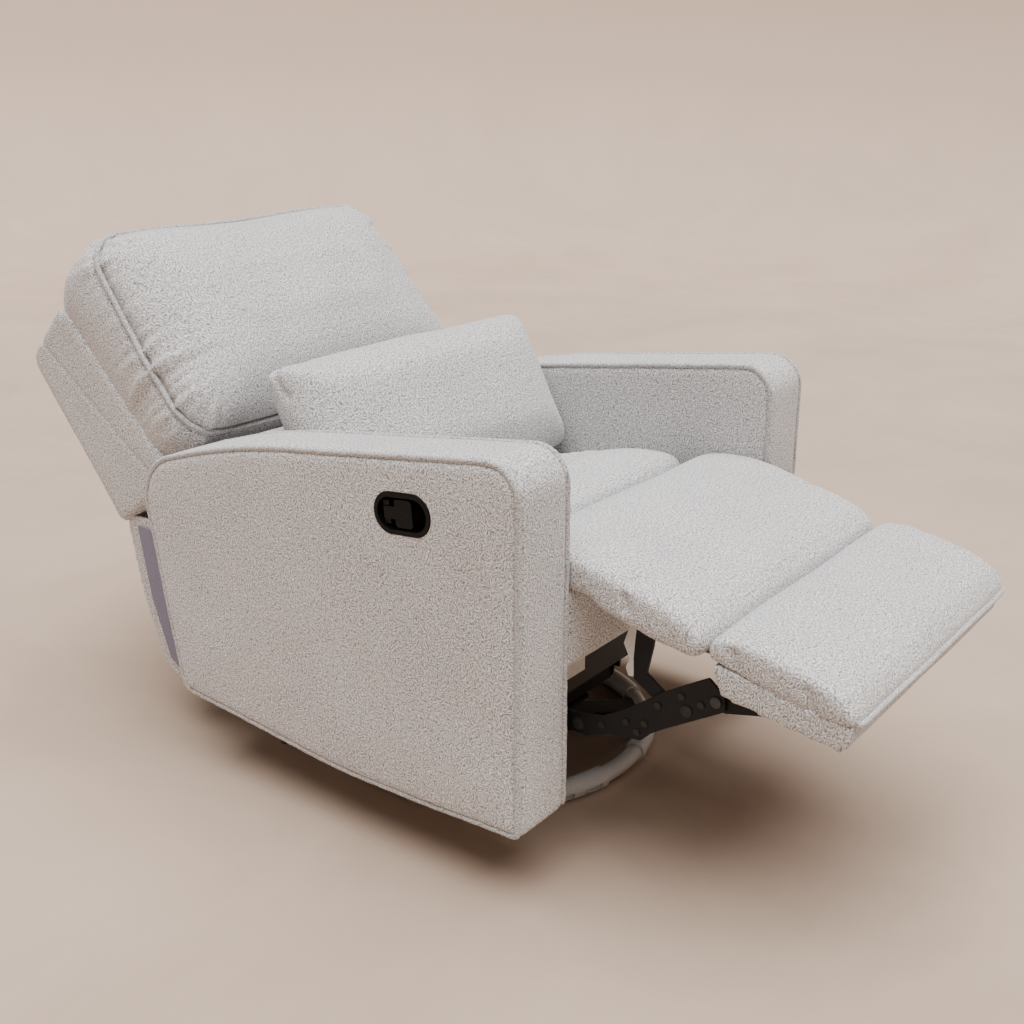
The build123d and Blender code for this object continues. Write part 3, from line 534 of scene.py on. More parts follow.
def box_uv(obj):
    """A UV map in metres, laid on each face from the side it looks towards most."""
    mesh = obj.data
    layer = mesh.uv_layers.get("weave") or mesh.uv_layers.new(name="weave")
    count = len(mesh.loops)
    corner = np.empty(count, dtype=np.int32)
    mesh.loops.foreach_get("vertex_index", corner)
    points = points_of(mesh)[corner]
    normals = np.empty(len(mesh.polygons) * 3)
    mesh.polygons.foreach_get("normal", normals)
    sizes = np.empty(len(mesh.polygons), dtype=np.int32)
    mesh.polygons.foreach_get("loop_total", sizes)
    side = np.repeat(np.abs(normals.reshape(-1, 3)).argmax(axis=1), sizes)
    first = np.where(side == 0, 1, 0)
    second = np.where(side == 2, 1, 2)
    rows = np.arange(count)
    flat = np.stack([points[rows, first], points[rows, second]], axis=1)
    layer.data.foreach_set("uv", flat.ravel())


def finish_pad(obj, body, *nodes, fill):
    obj.data.materials.clear()
    obj.data.materials.append(cloth)
    obj.data.polygons.foreach_set("use_smooth", [True] * len(obj.data.polygons))
    box_uv(obj)
    if body:
        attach(obj, body)
    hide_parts(*nodes)
    print(obj.name, len(obj.data.polygons), "faces")


print("pads are covered in", cloth.name)

# %% [markdown]
# Piping is a thin cord sewn into a seam. It follows a path, so Geometry Nodes make it: the path's
# edges become a curve, and a circle is drawn along it. The radius is an input of the tree.

# %% Piping tree


def piping_tree():
    tree = bpy.data.node_groups.new("piping", "GeometryNodeTree")
    tree.interface.new_socket("Path", in_out="INPUT", socket_type="NodeSocketGeometry")
    tree.interface.new_socket("Radius", in_out="INPUT", socket_type="NodeSocketFloat")
    tree.interface.new_socket("Finish", in_out="INPUT", socket_type="NodeSocketMaterial")
    tree.interface.new_socket("Piping", in_out="OUTPUT", socket_type="NodeSocketGeometry")
    add = tree.nodes.new
    start = add("NodeGroupInput")
    curve = add("GeometryNodeMeshToCurve")
    circle = add("GeometryNodeCurvePrimitiveCircle")
    circle.inputs["Resolution"].default_value = 8
    tube = add("GeometryNodeCurveToMesh")
    tube.inputs["Fill Caps"].default_value = True
    smooth = add("GeometryNodeSetShadeSmooth")
    real = add("GeometryNodeRealizeInstances")
    finish = add("GeometryNodeSetMaterial")
    end = add("NodeGroupOutput")
    link = tree.links.new
    link(start.outputs["Path"], curve.inputs["Mesh"])
    link(start.outputs["Radius"], circle.inputs["Radius"])
    link(curve.outputs["Curve"], tube.inputs["Curve"])
    link(circle.outputs["Curve"], tube.inputs["Profile Curve"])
    link(tube.outputs["Mesh"], smooth.inputs["Geometry"])
    link(smooth.outputs["Geometry"], real.inputs["Geometry"])
    link(real.outputs["Geometry"], finish.inputs["Geometry"])
    link(start.outputs["Finish"], finish.inputs["Material"])
    link(finish.outputs["Geometry"], end.inputs["Piping"])
    return tree


piping_nodes = piping_tree()
print("piping tree has", len(piping_nodes.nodes), "nodes")

# %% [markdown]
# The seams of one body share one mesh. Their paths become loose edges, the tree turns these into
# tubes, and the result is baked.

# %% Piping along paths


def input_id(tree, name):
    """The identifier of a tree's input, by which a modifier knows it."""
    for item in tree.interface.items_tree:
        if item.name == name and item.in_out == "INPUT":
            return item.identifier


def piping(name, paths, radius, body):
    """Tubes along closed or open paths, as one plain mesh; a path is (points, closed)."""
    verts = []
    edges = []
    for path, closed in paths:
        first = len(verts)
        verts += [tuple(p) for p in path]
        edges += [(first + i, first + i + 1) for i in range(len(path) - 1)]
        if closed:
            edges.append((len(verts) - 1, first))
    mesh = bpy.data.meshes.new(name)
    mesh.from_pydata(verts, edges, [])
    obj = add_object(name, mesh)
    tube = obj.modifiers.new("piping", "NODES")
    tube.node_group = piping_nodes
    tube[input_id(piping_nodes, "Radius")] = radius
    tube[input_id(piping_nodes, "Finish")] = piping_cloth_painted_shade
    bake(obj)
    box_uv(obj)
    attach(obj, body)
    print(name, len(obj.data.polygons), "faces")


print("piping is covered in", piping_cloth_painted_shade.name)

# %% [markdown]
# The arms are slabs with a rounded top and front. Each side panel is sewn to the band that runs
# over the edge, with piping in the seam. The panels bulge a little, as foam does under cloth: the
# bulge grows with the distance from the outline and is flat at the seam.

# %% Arms
ARM_OUTLINE = [
    (-404, 124, 9), (-100, 113, 900), (235, 140, 20), (300, 491, 85), (85, 557, 1350), (-404, 620, 46),
]
ARM_INNER = 262
ARM_OUTER = 370
PANEL_BULGE = 0.0045
PANEL_RIM = 12
PANEL_RUN = 60
PANEL_SHARE = 0.9
SEAM_INSET = 2.6
arm_outline = rounded_outline(ARM_OUTLINE, steps=9)


def edge_distance(points, outline):
    """How far points lie from the outline's sides, in millimetres, seen from the side."""
    flat = np.stack([points[:, 1] - origin_y, points[:, 2] - origin_z], axis=1) * MM_PER_M
    best = np.full(len(flat), np.inf)
    for i in range(len(outline)):
        a = np.array(outline[i])
        b = np.array(outline[(i + 1) % len(outline)])
        along = b - a
        share = np.clip(((flat - a) @ along) / (along @ along), 0, 1)
        best = np.minimum(best, np.linalg.norm(flat - a - share[:, None] * along, axis=1))
    return best


def arm(name, low_x, high_x):
    """An arm's cover and the paths of its two seams."""
    obj = prism(name, arm_outline, low_x, high_x, edge_round=9)
    voxels(obj, size=0.005, smooth=2)
    points = points_of(obj.data)
    inside = edge_distance(points, arm_outline)
    middle = (low_x + high_x) / 2 / MM_PER_M
    half = (high_x - low_x) / 2 / MM_PER_M
    across = (points[:, 0] - middle) / half
    bulge = PANEL_BULGE * (1 - np.exp(-(np.maximum(inside - PANEL_RIM, 0) / PANEL_RUN)))
    points[:, 0] += np.sign(across) * bulge * (np.abs(across) > PANEL_SHARE)
    set_points(obj, points)
    ripple(obj, height=0.0012, scale=9, seed=high_x)
    paths = []
    for side in (low_x + SEAM_INSET, high_x - SEAM_INSET):
        rim = [place(side, y, z) for y, z in arm_outline]
        rim = even_path(rim, step=0.006, closed=True)
        rim = relax(on_surface(obj, rim), closed=True)
        press_line(obj, rim, depth=0.0045, width=0.008)
        paths.append((on_surface(obj, rim, lift=0.0022), True))
    return obj, paths


near_arm, near_seams = arm("arm_near", -ARM_OUTER, -ARM_INNER)
far_arm, far_seams = arm("arm_far", ARM_INNER, ARM_OUTER)
print("arm outline has", len(arm_outline), "points")

# %% [markdown]
# The handle sits in a pocket of the near arm, so the cloth has an opening there. The opening is a
# slot with round ends, a little smaller than the bezel that hides its edge, and a Boolean cuts it.

# %% Pocket for the handle in the near arm
HANDLE_CENTRE = (-228, 522)
HANDLE_TURN = math.radians(-5.5)
POCKET_HALF = 19
POCKET_RADIUS = 23.6
POCKET_STEPS = 12
POCKET_CLEARANCE = 20
POCKET_DEPTH = 30
pocket_outline = []
for end in (1, -1):
    for k in range(POCKET_STEPS + 1):
        turn = math.pi * (k / POCKET_STEPS - 0.5)
        y = end * (POCKET_HALF + POCKET_RADIUS * math.cos(turn))
        z = end * POCKET_RADIUS * math.sin(turn)
        pocket_outline.append((
            HANDLE_CENTRE[0] + y * math.cos(HANDLE_TURN) - z * math.sin(HANDLE_TURN),
            HANDLE_CENTRE[1] + y * math.sin(HANDLE_TURN) + z * math.cos(HANDLE_TURN)))
pocket = prism("pocket", pocket_outline, -ARM_OUTER - POCKET_CLEARANCE, -ARM_OUTER + POCKET_DEPTH,
               edge_round=0.4, steps=1)
cut = near_arm.modifiers.new("cut", "BOOLEAN")
cut.object = pocket
cut.operation = "DIFFERENCE"
cut.solver = "EXACT"
bake(near_arm)
bpy.data.objects.remove(pocket)
finish_pad(near_arm, "seat", "arm_cover_near", fill=0.8)
finish_pad(far_arm, "seat", "arm_cover_far", fill=0.8)
piping("arm_piping", near_seams + far_seams, radius=0.0042, body="seat")

# %% [markdown]
# Foam under cloth swells and its edges turn soft. Rounding the edges alone looks like plastic, so
# the cushions are blown up a little by the Cloth modifier with air pressure. The cloth also slides
# and shrinks as it settles, so only the part of its motion that points outwards is kept, evened
# out over the neighbours and capped, and a piece stays in its place.

# %% Swelling
AIR_PRESSURE = 4
AIR_STEPS = 20
SWELL_TURNS = 24


def blown_up(obj):
    """The points of a piece after a short time under air pressure."""
    air = obj.modifiers.new("air", "CLOTH")
    air.settings.quality = 4
    air.settings.mass = 0.3
    air.settings.use_pressure = True
    air.settings.uniform_pressure_force = AIR_PRESSURE
    air.settings.bending_stiffness = 0.6
    air.settings.effector_weights.gravity = 0
    air.collision_settings.use_collision = False
    air.point_cache.frame_start = 1
    air.point_cache.frame_end = AIR_STEPS
    for step in range(1, AIR_STEPS + 1):
        scene.frame_set(step)
    graph = bpy.context.evaluated_depsgraph_get()
    points = points_of(obj.evaluated_get(graph).data)
    obj.modifiers.clear()
    scene.frame_set(1)
    return points


def evened(mesh, values):
    """Values at a mesh's points, averaged with those of the neighbours many times."""
    ends = np.empty(len(mesh.edges) * 2, dtype=np.int32)
    mesh.edges.foreach_get("vertices", ends)
    ends = ends.reshape(-1, 2)
    count = len(values)
    share = np.maximum(np.bincount(ends.ravel(), minlength=count), 1)
    for turn in range(SWELL_TURNS):
        total = np.bincount(ends[:, 0], values[ends[:, 1]], count)
        total += np.bincount(ends[:, 1], values[ends[:, 0]], count)
        values = total / share
    return values


def puff(obj, cap, side_room=0.003):
    """Swells a piece as its cloth would, up to the cap and to a little room at its sides."""
    before = points_of(obj.data)
    after = blown_up(obj)
    normals = normals_of(obj.data)
    swell = ((after - before) * normals).sum(axis=1).clip(0, cap)
    after = before + normals * evened(obj.data, swell)[:, None]
    low = before[:, 0].min() - side_room
    high = before[:, 0].max() + side_room
    after[:, 0] = after[:, 0].clip(low, high)
    set_points(obj, after)


print("air pressure", AIR_PRESSURE, "for", AIR_STEPS, "frames")

# %% [markdown]
# The seat cushion lies between the arms, and only its top shows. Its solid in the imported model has
# the right form, so a copy of it is made even, swollen and given a finer mesh.

# %% Seat cushion
MERGED = 1e-5


def copy_of_node(node_name, name):
    """The CAD solid's shape as a new closed mesh."""
    source = frame["nodes"][node_name]
    mesh = source.data.copy()
    mesh.name = name
    mesh.transform(source.matrix_world)
    mesh.materials.clear()
    shape = bmesh.new()
    shape.from_mesh(mesh)
    bmesh.ops.remove_doubles(shape, verts=shape.verts, dist=MERGED)
    shape.to_mesh(mesh)
    shape.free()
    return add_object(name, mesh)


def refine(obj):
    """One step of subdivision, so that small creases have enough points."""
    rounder = obj.modifiers.new("rounder", "SUBSURF")
    rounder.levels = 1
    rounder.render_levels = 1
    bake(obj)


seat_pad = copy_of_node("seat_cushion", "seat_pad")
voxels(seat_pad, size=0.007, smooth=2)
puff(seat_pad, cap=0.008)
refine(seat_pad)
ripple(seat_pad, height=0.003, scale=8, seed=3.1)
finish_pad(seat_pad, "seat", "seat_cushion", fill=0.75)

# %% [markdown]
# Where cloth is eased into a seam it can't lie flat, and creases run away from the seam. Each
# crease is a fold of noise along the seam that dies out with the distance from it. Slower noises
# leave some stretches of the seam plain and make some creases longer than others.

# %% Creases
GATHER_STEP = 0.003
FOLD_ROW = 0.5
FOLD_GAIN = 2.2
FOLD_SINK = 0.7
PATCH_ROW = 3.5
PATCH_RATE = 0.17
PATCH_BASE = 0.8
PATCH_SWING = 1.4
LENGTH_ROW = 7.5
LENGTH_RATE = 0.6
LENGTH_SWING = 1.2
SHORTEST = 0.01
FAR_REACHES = 3


def gather(obj, path, height, pitch, reach, seed):
    """Creases that run away from a seam, whose points are GATHER_STEP apart."""
    tree = tree_of(path)
    points = points_of(obj.data)
    normals = normals_of(obj.data)
    lift = np.zeros(len(points))
    for i, point in enumerate(points):
        index, gap = tree.find(point)[1:]
        if gap > FAR_REACHES * reach:
            continue
        along = index * GATHER_STEP / pitch
        fold = abs(noise.noise(Vector((along, seed, FOLD_ROW))))
        patch = PATCH_SWING * noise.noise(Vector((along * PATCH_RATE, seed, PATCH_ROW)))
        patch = max(0, PATCH_BASE + patch)
        length = LENGTH_SWING * noise.noise(Vector((along * LENGTH_RATE, seed, LENGTH_ROW)))
        length = max(reach * (1.0 + length), SHORTEST)
        fade = math.exp(-(gap / length) ** 2)
        lift[i] = height * patch * (FOLD_GAIN * fold - FOLD_SINK) * fade
    points += normals * lift[:, None]
    set_points(obj, points)


print("crease points every", GATHER_STEP, "m")

# %% [markdown]
# A dart is a short sewn pinch, where the cloth of a pad turns down over its edge. It is a sewn line
# of its own, from the top face over the edge and down the side.

# %% Darts
DART_LENGTH = 0.045
DART_RISE = 0.004
DART_SLANT = 0.006
DART_DEPTH = 0.005
DART_WIDTH = 0.006
DART_POINTS = 17


def dart(obj, x, y, z, drop):
    """A short sewn pinch over an edge, from the top face down the side."""
    inward = 1 if x < 0 else -1
    start = place(x, y, z) + Vector((DART_LENGTH / 2 * inward, 0, DART_RISE))
    end = place(x, y, z) + Vector((0, -DART_SLANT, -drop))
    line = [start.lerp(end, k / (DART_POINTS - 1)) for k in range(DART_POINTS)]
    press_line(obj, on_surface(obj, line), DART_DEPTH, DART_WIDTH)


print("dart length", DART_LENGTH, "m")

# %% [markdown]
# The pad under the thighs is one long cushion in cloth, although its front half swings down with the
# footrest; here it is one fixed piece that is attached to no body. Its cloth goes round the board that
# carries it. A dart is sewn into each side edge, where the cloth turns down.

# %% Leg pad
LEG_OUTLINE = [
    (-289, 430), (-288, 450), (-296, 462), (-316, 468), (-345, 472), (-383, 473), (-420, 468),
    (-464, 457), (-530, 440), (-562, 428), (-581, 415), (-587, 402), (-584, 390), (-570, 382),
    (-500, 398), (-440, 413), (-424, 426),
]
LEG_HALF = 260
LEG_FRONT = 9
LEG_DART = (-478, 444)
RIM_INSET = 6
DART_INSET = 4
leg_pad = prism("leg_pad", LEG_OUTLINE, -LEG_HALF, LEG_HALF, edge_round=12)
voxels(leg_pad, size=0.006, smooth=3)
puff(leg_pad, cap=0.007)
refine(leg_pad)
ripple(leg_pad, height=0.003, scale=6, seed=5.7)
leg_rim = [place(-LEG_HALF + RIM_INSET, y, z) for y, z in LEG_OUTLINE[LEG_FRONT:]]
leg_rim = even_path(leg_rim, GATHER_STEP, closed=False)
gather(leg_pad, leg_rim, height=0.0015, pitch=0.024, reach=0.03, seed=4.2)
for x in (-LEG_HALF + DART_INSET, LEG_HALF - DART_INSET):
    dart(leg_pad, x, *LEG_DART, drop=0.02)
finish_pad(leg_pad, None, "front_seat_pad", "flap_pad", fill=0.75)
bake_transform(leg_pad)

# %% [markdown]
# The footrest is a covered board with its own pad. The pad overhangs the board a little, its side
# is gathered, and piping closes the seam along its front edge.

# %% Footrest pad
FOOT_OUTLINE = [
    (-590, 384), (-586, 398), (-592, 410), (-606, 418), (-634, 419), (-686, 409), (-735, 396), (-762, 384),
    (-776, 368), (-779, 354), (-770, 350), (-680, 364),
]
FOOT_HALF = 255
FOOT_FRONT = 9
FOOT_RIM_RISE = 4
FOOT_DARTS = ((-622, 408), (-716, 388))
FRONT_SEAM = (-778, 357)
FRONT_SEAM_INSET = 8
FRONT_SEAM_POINTS = 90
foot_pad = prism("foot_pad", FOOT_OUTLINE, -FOOT_HALF, FOOT_HALF, edge_round=11)
voxels(foot_pad, size=0.006, smooth=3)
puff(foot_pad, cap=0.007)
refine(foot_pad)
ripple(foot_pad, height=0.003, scale=6, seed=8.3)
foot_front = FOOT_OUTLINE[FOOT_FRONT:]
foot_rim = [place(-FOOT_HALF + RIM_INSET, y, z + FOOT_RIM_RISE) for y, z in foot_front]
foot_rim = even_path(foot_rim, GATHER_STEP, closed=False)
gather(foot_pad, foot_rim, height=0.0018, pitch=0.024, reach=0.03, seed=1.7)
for y, z in FOOT_DARTS:
    for x in (-FOOT_HALF + DART_INSET, FOOT_HALF - DART_INSET):
        dart(foot_pad, x, y, z, drop=0.022)
seam_end = FOOT_HALF - FRONT_SEAM_INSET
front_seam = [place(x, *FRONT_SEAM) for x in np.linspace(-seam_end, seam_end, FRONT_SEAM_POINTS)]
front_seam = relax(on_surface(foot_pad, front_seam), closed=False)
press_line(foot_pad, front_seam, depth=0.0015, width=0.006)
finish_pad(foot_pad, "footrest", "footrest_pad", fill=0.75)
foot_cord = on_surface(foot_pad, front_seam, lift=0.002)
piping("foot_piping", [(foot_cord, False)], radius=0.0038, body="footrest")

# %% [markdown]
# The footrest's board and the rail under the front of the seat are boards with cloth pulled tight
# over them. They have no foam to swell, so a remeshed copy of the solid with soft edges is enough.

# %% Covered boards
foot_board = copy_of_node("footrest_board", "foot_board_cover")
voxels(foot_board, size=0.005, smooth=2)
ripple(foot_board, height=0.0015, scale=12, seed=2.9)
finish_pad(foot_board, "footrest", "footrest_board", fill=0.9)
front_cover = copy_of_node("front_rail", "front_rail_cover")
voxels(front_cover, size=0.005, smooth=2)
finish_pad(front_cover, "seat", "front_rail", fill=0.9)

# %% [markdown]
# The back is a covered shell that carries a thick boxed cushion. It leans, so its shapes are drawn
# upright, as (forward, up) of the back's own plane, and then turned. The shell has square sides
# with one seam down each of them.

# %% Back shell
LEAN = math.radians(45)
BACK_CORNER = (250, 330)
SHELL_OUTLINE = [(50, 131, 4), (50, 440, 6), (34, 462, 6), (-91, 461, 24), (-124, 147, 10), (-46, 128, 12)]
SHELL_HALF = 307
SHELL_SEAM_LOW = (15, 132)
SHELL_SEAM_RUN = (-60, 332)
SHELL_SEAM_POINTS = 90
SHELL_SEAM_SIDE = 308


def back_outline(points):
    """Outline points of the back, given as (forward, up), as (y, z) of the drawing."""
    turned = []
    for forward, up in points:
        y = BACK_CORNER[0] + up * math.sin(LEAN) - forward * math.cos(LEAN)
        z = BACK_CORNER[1] + up * math.cos(LEAN) + forward * math.sin(LEAN)
        turned.append((y, z))
    return turned


def back_place(x, forward, up):
    """A point of the back: forward of and up along the back's own plane, in millimetres."""
    y, z = back_outline([(forward, up)])[0]
    return place(x, y, z)


shell_outline = back_outline(rounded_outline(SHELL_OUTLINE, steps=5))
shell_cover = prism("back_shell_cover", shell_outline, -SHELL_HALF, SHELL_HALF, edge_round=11)
voxels(shell_cover, size=0.0066, smooth=2)
refine(shell_cover)
ripple(shell_cover, height=0.002, scale=7, seed=9.1)
shell_seam = []
for x, low, high in ((-SHELL_SEAM_SIDE, 0, 1), (SHELL_SEAM_SIDE, 1, 0)):
    for share in np.linspace(low, high, SHELL_SEAM_POINTS):
        forward = SHELL_SEAM_LOW[0] + SHELL_SEAM_RUN[0] * share
        up = SHELL_SEAM_LOW[1] + SHELL_SEAM_RUN[1] * share
        shell_seam.append(back_place(x, forward, up))
press_line(shell_cover, on_surface(shell_cover, shell_seam), depth=0.0022, width=0.004)
finish_pad(shell_cover, "back", "back_shell", fill=0.9)

# %% [markdown]
# The back cushion is a box of foam in cloth: a crowned front face, a band round its sides and
# piping between them. A copy of its solid has its box drawn back towards the shell, so that no gap
# shows, and its sides bulged.

# %% Back cushion
BOX_FRONT = 0.145
BOX_DEPTH = 0.095
BOX_STRETCH = 0.022
SIDE_BULGE = 0.020
BULGE_START = 0.03
BULGE_RUN = 0.13
back_pad = copy_of_node("back_cushion", "back_pad")
voxels(back_pad, size=0.007, smooth=2)
points = points_of(back_pad.data)
facing = np.array((0, -math.cos(LEAN), math.sin(LEAN)))
depths = (points - np.array(back_place(0, 0, 0))) @ facing
stretch = BOX_STRETCH * ((BOX_FRONT - depths) / BOX_DEPTH).clip(0, 1)
points -= stretch[:, None] * facing
points[:, 0] *= 1 + SIDE_BULGE * np.sin(np.pi * ((depths - BULGE_START) / BULGE_RUN).clip(0, 1))
set_points(back_pad, points)
puff(back_pad, cap=0.007, side_room=0.006)
refine(back_pad)
print("back cushion drawn back by", BOX_STRETCH, "m")

# %% [markdown]
# The seam of the cushion goes round its front face and comes forward along the top, so that its
# piping shows there. The cloth is gathered along its sides. The piping's path is evened out much
# more than the seam, because a cord doesn't follow every crease.

# %% Seam and piping of the back cushion
SEAM_SIDE = 308
SEAM_BOTTOM = 129
SEAM_TOP = 499
SEAM_ROUND_BELOW = 52
SEAM_ROUND_ABOVE = 60
SEAM_FORWARD = 139
TOP_FORWARD = 46
TOP_START = 380
GATHERED_FROM = 0.24
seam_outline = rounded_outline([
    (-SEAM_SIDE, SEAM_BOTTOM, SEAM_ROUND_BELOW), (SEAM_SIDE, SEAM_BOTTOM, SEAM_ROUND_BELOW),
    (SEAM_SIDE, SEAM_TOP, SEAM_ROUND_ABOVE), (-SEAM_SIDE, SEAM_TOP, SEAM_ROUND_ABOVE)], steps=10)
seam = []
for x, up in seam_outline:
    top_share = max(0, (up - TOP_START) / (SEAM_TOP - TOP_START))
    seam.append(back_place(x, SEAM_FORWARD + TOP_FORWARD * top_share, up))
seam = even_path(seam, GATHER_STEP, closed=True)
seam = relax(on_surface(back_pad, seam), closed=True, turns=6)
ripple(back_pad, height=0.004, scale=6, seed=1.9)
side_seam = [point for point in seam if abs(point.x) > GATHERED_FROM]
gather(back_pad, side_seam, height=0.007, pitch=0.021, reach=0.055, seed=2.3)
press_line(back_pad, seam, depth=0.007, width=0.010)
finish_pad(back_pad, "back", "back_cushion", fill=0.75)
cord = on_surface(back_pad, relax(seam, closed=True, turns=20), lift=0.0046)
cord = relax(cord, closed=True, turns=60)
piping("back_piping", [(cord[::2], True)], radius=0.0045, body="back")

# %% [markdown]
# The lumbar pad fills the gap between the back cushion and the seat. Nearly all of it is hidden,
# so a softened copy of its solid is enough.

# %% Lumbar pad
lumbar = copy_of_node("lumbar_pad", "lumbar_cover")
voxels(lumbar, size=0.007, smooth=2)
ripple(lumbar, height=0.003, scale=9, seed=4.4)
finish_pad(lumbar, "back", "lumbar_pad", fill=0.75)

# %% [markdown]
# A cloth panel closes the chair below the back. It is a stiff tray, so a softened copy of its solid
# does. It is made a little narrower than the solid, and its top rim is raised towards the shell.

# %% Rear panel
PANEL_NARROWING = 0.993
RIM_RISE = 0.015
RIM_HEIGHT = 0.012
rear_cover = copy_of_node("rear_panel", "rear_panel_cover")
voxels(rear_cover, size=0.004, smooth=2)
points = points_of(rear_cover.data)
points[:, 0] *= PANEL_NARROWING
points[:, 2] += RIM_RISE * (points[:, 2] > points[:, 2].max() - RIM_HEIGHT)
set_points(rear_cover, points)
finish_pad(rear_cover, "seat", "rear_panel", fill=0.3)

# %% [markdown]
# A purple-grey tape fastens each side of the rear panel. It is flat and thin, so a slab with the
# curve of the panel's side is enough. Both tapes come from one outline.

# %% Tapes that fasten the rear panel
TAPE_OUTLINE = [(362, 350), (404, 350), (384, 232), (350, 135), (312, 114), (306, 140), (338, 232)]
TAPE_INNER = 300
TAPE_THICKNESS = 1.6
for side, name in ((-1, "rear_tape_near"), (1, "rear_tape_far")):
    low, high = sorted((side * TAPE_INNER, side * (TAPE_INNER + TAPE_THICKNESS)))
    tape = prism(name, TAPE_OUTLINE, low, high, edge_round=0.4, steps=1)
    tape.data.materials.append(woven_tape)
    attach(tape, "seat")
    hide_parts("rear_tapes")
    print(name, len(tape.data.polygons), "faces")

# %% [markdown]
# The pillow is two panels sewn together at their edges. Its corners are pinched, so they stay thin
# while the middle swells, and a few folds run inwards from each corner. The half on the handle's
# side is drawn out a little, as the stuffing has moved there.

# %% Pillow
PILLOW_DRAW = 0.055
FOLD_TURNS = (-0.5, -0.1, 0.35)
FOLD_START = 0.006
FOLD_LENGTH = 0.05
FOLD_POINTS = 13
PILLOW_LEAN = 0.5
CORNER_SLANT = 0.5
pillow = copy_of_node("pillow", "lumbar_pillow")
corners = points_of(pillow.data)
middle_x = corners[:, 0].mean()
corners[:, 0] -= PILLOW_DRAW * (middle_x - corners[:, 0]).clip(0)
set_points(pillow, corners)
voxels(pillow, size=0.006, smooth=1)
puff(pillow, cap=0.010, side_room=0.010)
refine(pillow)
ripple(pillow, height=0.005, scale=7, seed=6.6)
middle = Vector(corners.mean(axis=0))
facing = (0, -math.cos(PILLOW_LEAN), math.sin(PILLOW_LEAN))
for side in (-1, 1):
    for level in (-1, 1):
        reach = corners @ np.array((side, CORNER_SLANT * level, level))
        tip = Vector(corners[reach.argmax()])
        for turn in FOLD_TURNS:
            inward = (middle - tip).normalized()
            inward.rotate(Quaternion(facing, turn))
            steps = [FOLD_START + FOLD_LENGTH * k / (FOLD_POINTS - 1) for k in range(FOLD_POINTS)]
            fold = [tip + inward * step for step in steps]
            press_line(pillow, on_surface(pillow, fold), depth=0.005, width=0.006)
finish_pad(pillow, "cushion", "pillow", fill=0.7)

# %% [markdown]
# The chair stands on a pale floor that curves up into a low wall far behind. A flat floor and a
# wall would meet in a line, so one profile with a wide bend is spun round instead.

# %% Floor and wall
FLOOR_RADIUS = 5.0
FLOOR_MIDDLE = 2.5
BEND_RADIUS = 1.6
BEND_STEPS = 8
WALL_HEIGHT = 2.3
SPIN_STEPS = 72
FLOOR_MERGED = 1e-4
profile = [(0.0, 0.0), (FLOOR_MIDDLE, 0.0)]
for k in range(BEND_STEPS + 1):
    turn = math.radians(90 * k / BEND_STEPS)
    profile.append((FLOOR_RADIUS + BEND_RADIUS * math.sin(turn), BEND_RADIUS * (1 - math.cos(turn))))
profile.append((FLOOR_RADIUS + BEND_RADIUS, WALL_HEIGHT))
floor_mesh = bpy.data.meshes.new("floor")
shape = bmesh.new()
verts = [shape.verts.new((r, 0, z)) for r, z in profile]
rim = [shape.edges.new(pair) for pair in zip(verts, verts[1:])]
bmesh.ops.spin(shape, geom=verts + rim, axis=(0, 0, 1), cent=(0, 0, 0), steps=SPIN_STEPS,
               angle=2 * math.pi)
bmesh.ops.remove_doubles(shape, verts=shape.verts, dist=FLOOR_MERGED)
bmesh.ops.recalc_face_normals(shape, faces=shape.faces)
shape.to_mesh(floor_mesh)
shape.free()
floor_mesh.polygons.foreach_set("use_smooth", [True] * len(floor_mesh.polygons))
floor = add_object("floor", floor_mesh)
print("floor", len(floor_mesh.polygons), "faces")

# %% [markdown]
# The floor is mottled, and the wall is painted lighter, because less light falls on it. The height
# of a point mixes the two. The Mix node has several sockets of one name, so these go by number.

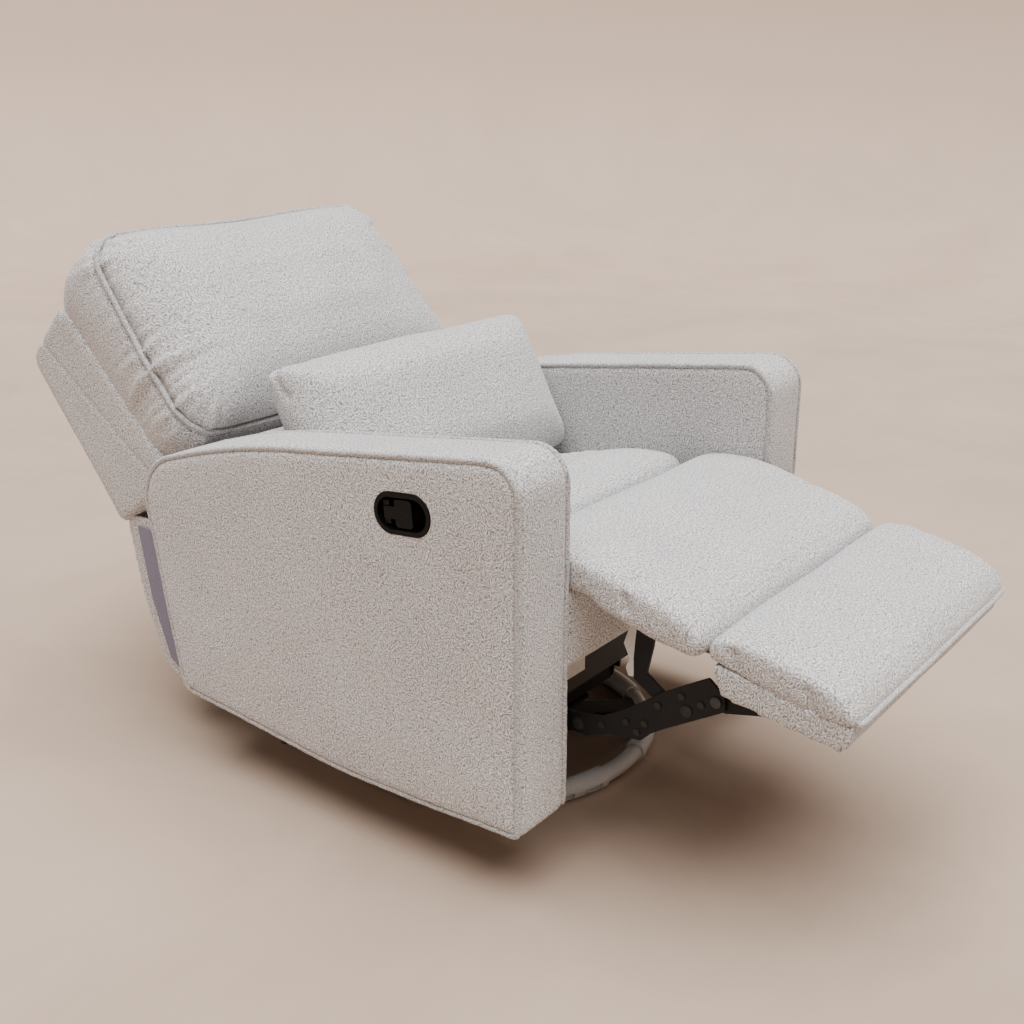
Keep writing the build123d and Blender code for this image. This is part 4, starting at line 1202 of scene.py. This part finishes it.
# %% Floor paint
FLOOR_STOPS = (0.25, 0.75)
FLOOR_TONES = ((0.355, 0.262, 0.198), (0.435, 0.325, 0.250))
WALL_PAINT = (0.73, 0.575, 0.455, 1)
PAINTED_AT = 1.4
MIX_FIRST = 6
MIX_SECOND = 7
MIX_RESULT = 2
floor_finish, shader, add, link = new_finish("pale_floor", roughness=0.85)
coordinate = add("ShaderNodeTexCoord")
mottle = add("ShaderNodeTexNoise", Scale=2.2, Detail=7.0, Roughness=0.62, Distortion=0.6)
link(coordinate.outputs["Object"], mottle.inputs["Vector"])
height = add("ShaderNodeSeparateXYZ")
link(coordinate.outputs["Object"], height.inputs["Vector"])
rise = add("ShaderNodeMapRange")
rise.inputs["From Max"].default_value = PAINTED_AT
link(height.outputs["Z"], rise.inputs["Value"])
paint = add("ShaderNodeMix", data_type="RGBA")
paint.inputs[MIX_SECOND].default_value = WALL_PAINT
link(rise.outputs["Result"], paint.inputs["Factor"])
link(two_tones(add, link, mottle.outputs["Fac"], FLOOR_STOPS, FLOOR_TONES), paint.inputs[MIX_FIRST])
link(paint.outputs[MIX_RESULT], shader.inputs["Base Color"])
floor_mesh.materials.append(floor_finish)
print("floor finish", floor_finish.name)

# %% [markdown]
# One very wide soft light from above makes the shadows under the chair, and a little light from all
# sides fills them.

# %% Light
SKY_COLOUR = (0.95, 0.95, 0.96, 1)
SKY_STRENGTH = 0.24
LIGHT_ENERGY = 7.7
LIGHT_WIDTH = math.radians(68)
LIGHT_COLOUR = (1.0, 0.99, 0.98)
LIGHT_DIRECTION = Vector((0.05, 0.13, -1))
world = bpy.data.worlds.new("studio")
scene.world = world
world.use_nodes = True
sky = world.node_tree.nodes["Background"]
sky.inputs["Color"].default_value = SKY_COLOUR
sky.inputs["Strength"].default_value = SKY_STRENGTH
top_light = bpy.data.lights.new("top_light", "SUN")
top_light.energy = LIGHT_ENERGY
top_light.angle = LIGHT_WIDTH
top_light.color = LIGHT_COLOUR
lamp = bpy.data.objects.new("top_light", top_light)
lamp.rotation_euler = LIGHT_DIRECTION.to_track_quat("-Z", "Y").to_euler()
scene.collection.objects.link(lamp)
print("light", lamp.name, "energy", LIGHT_ENERGY)
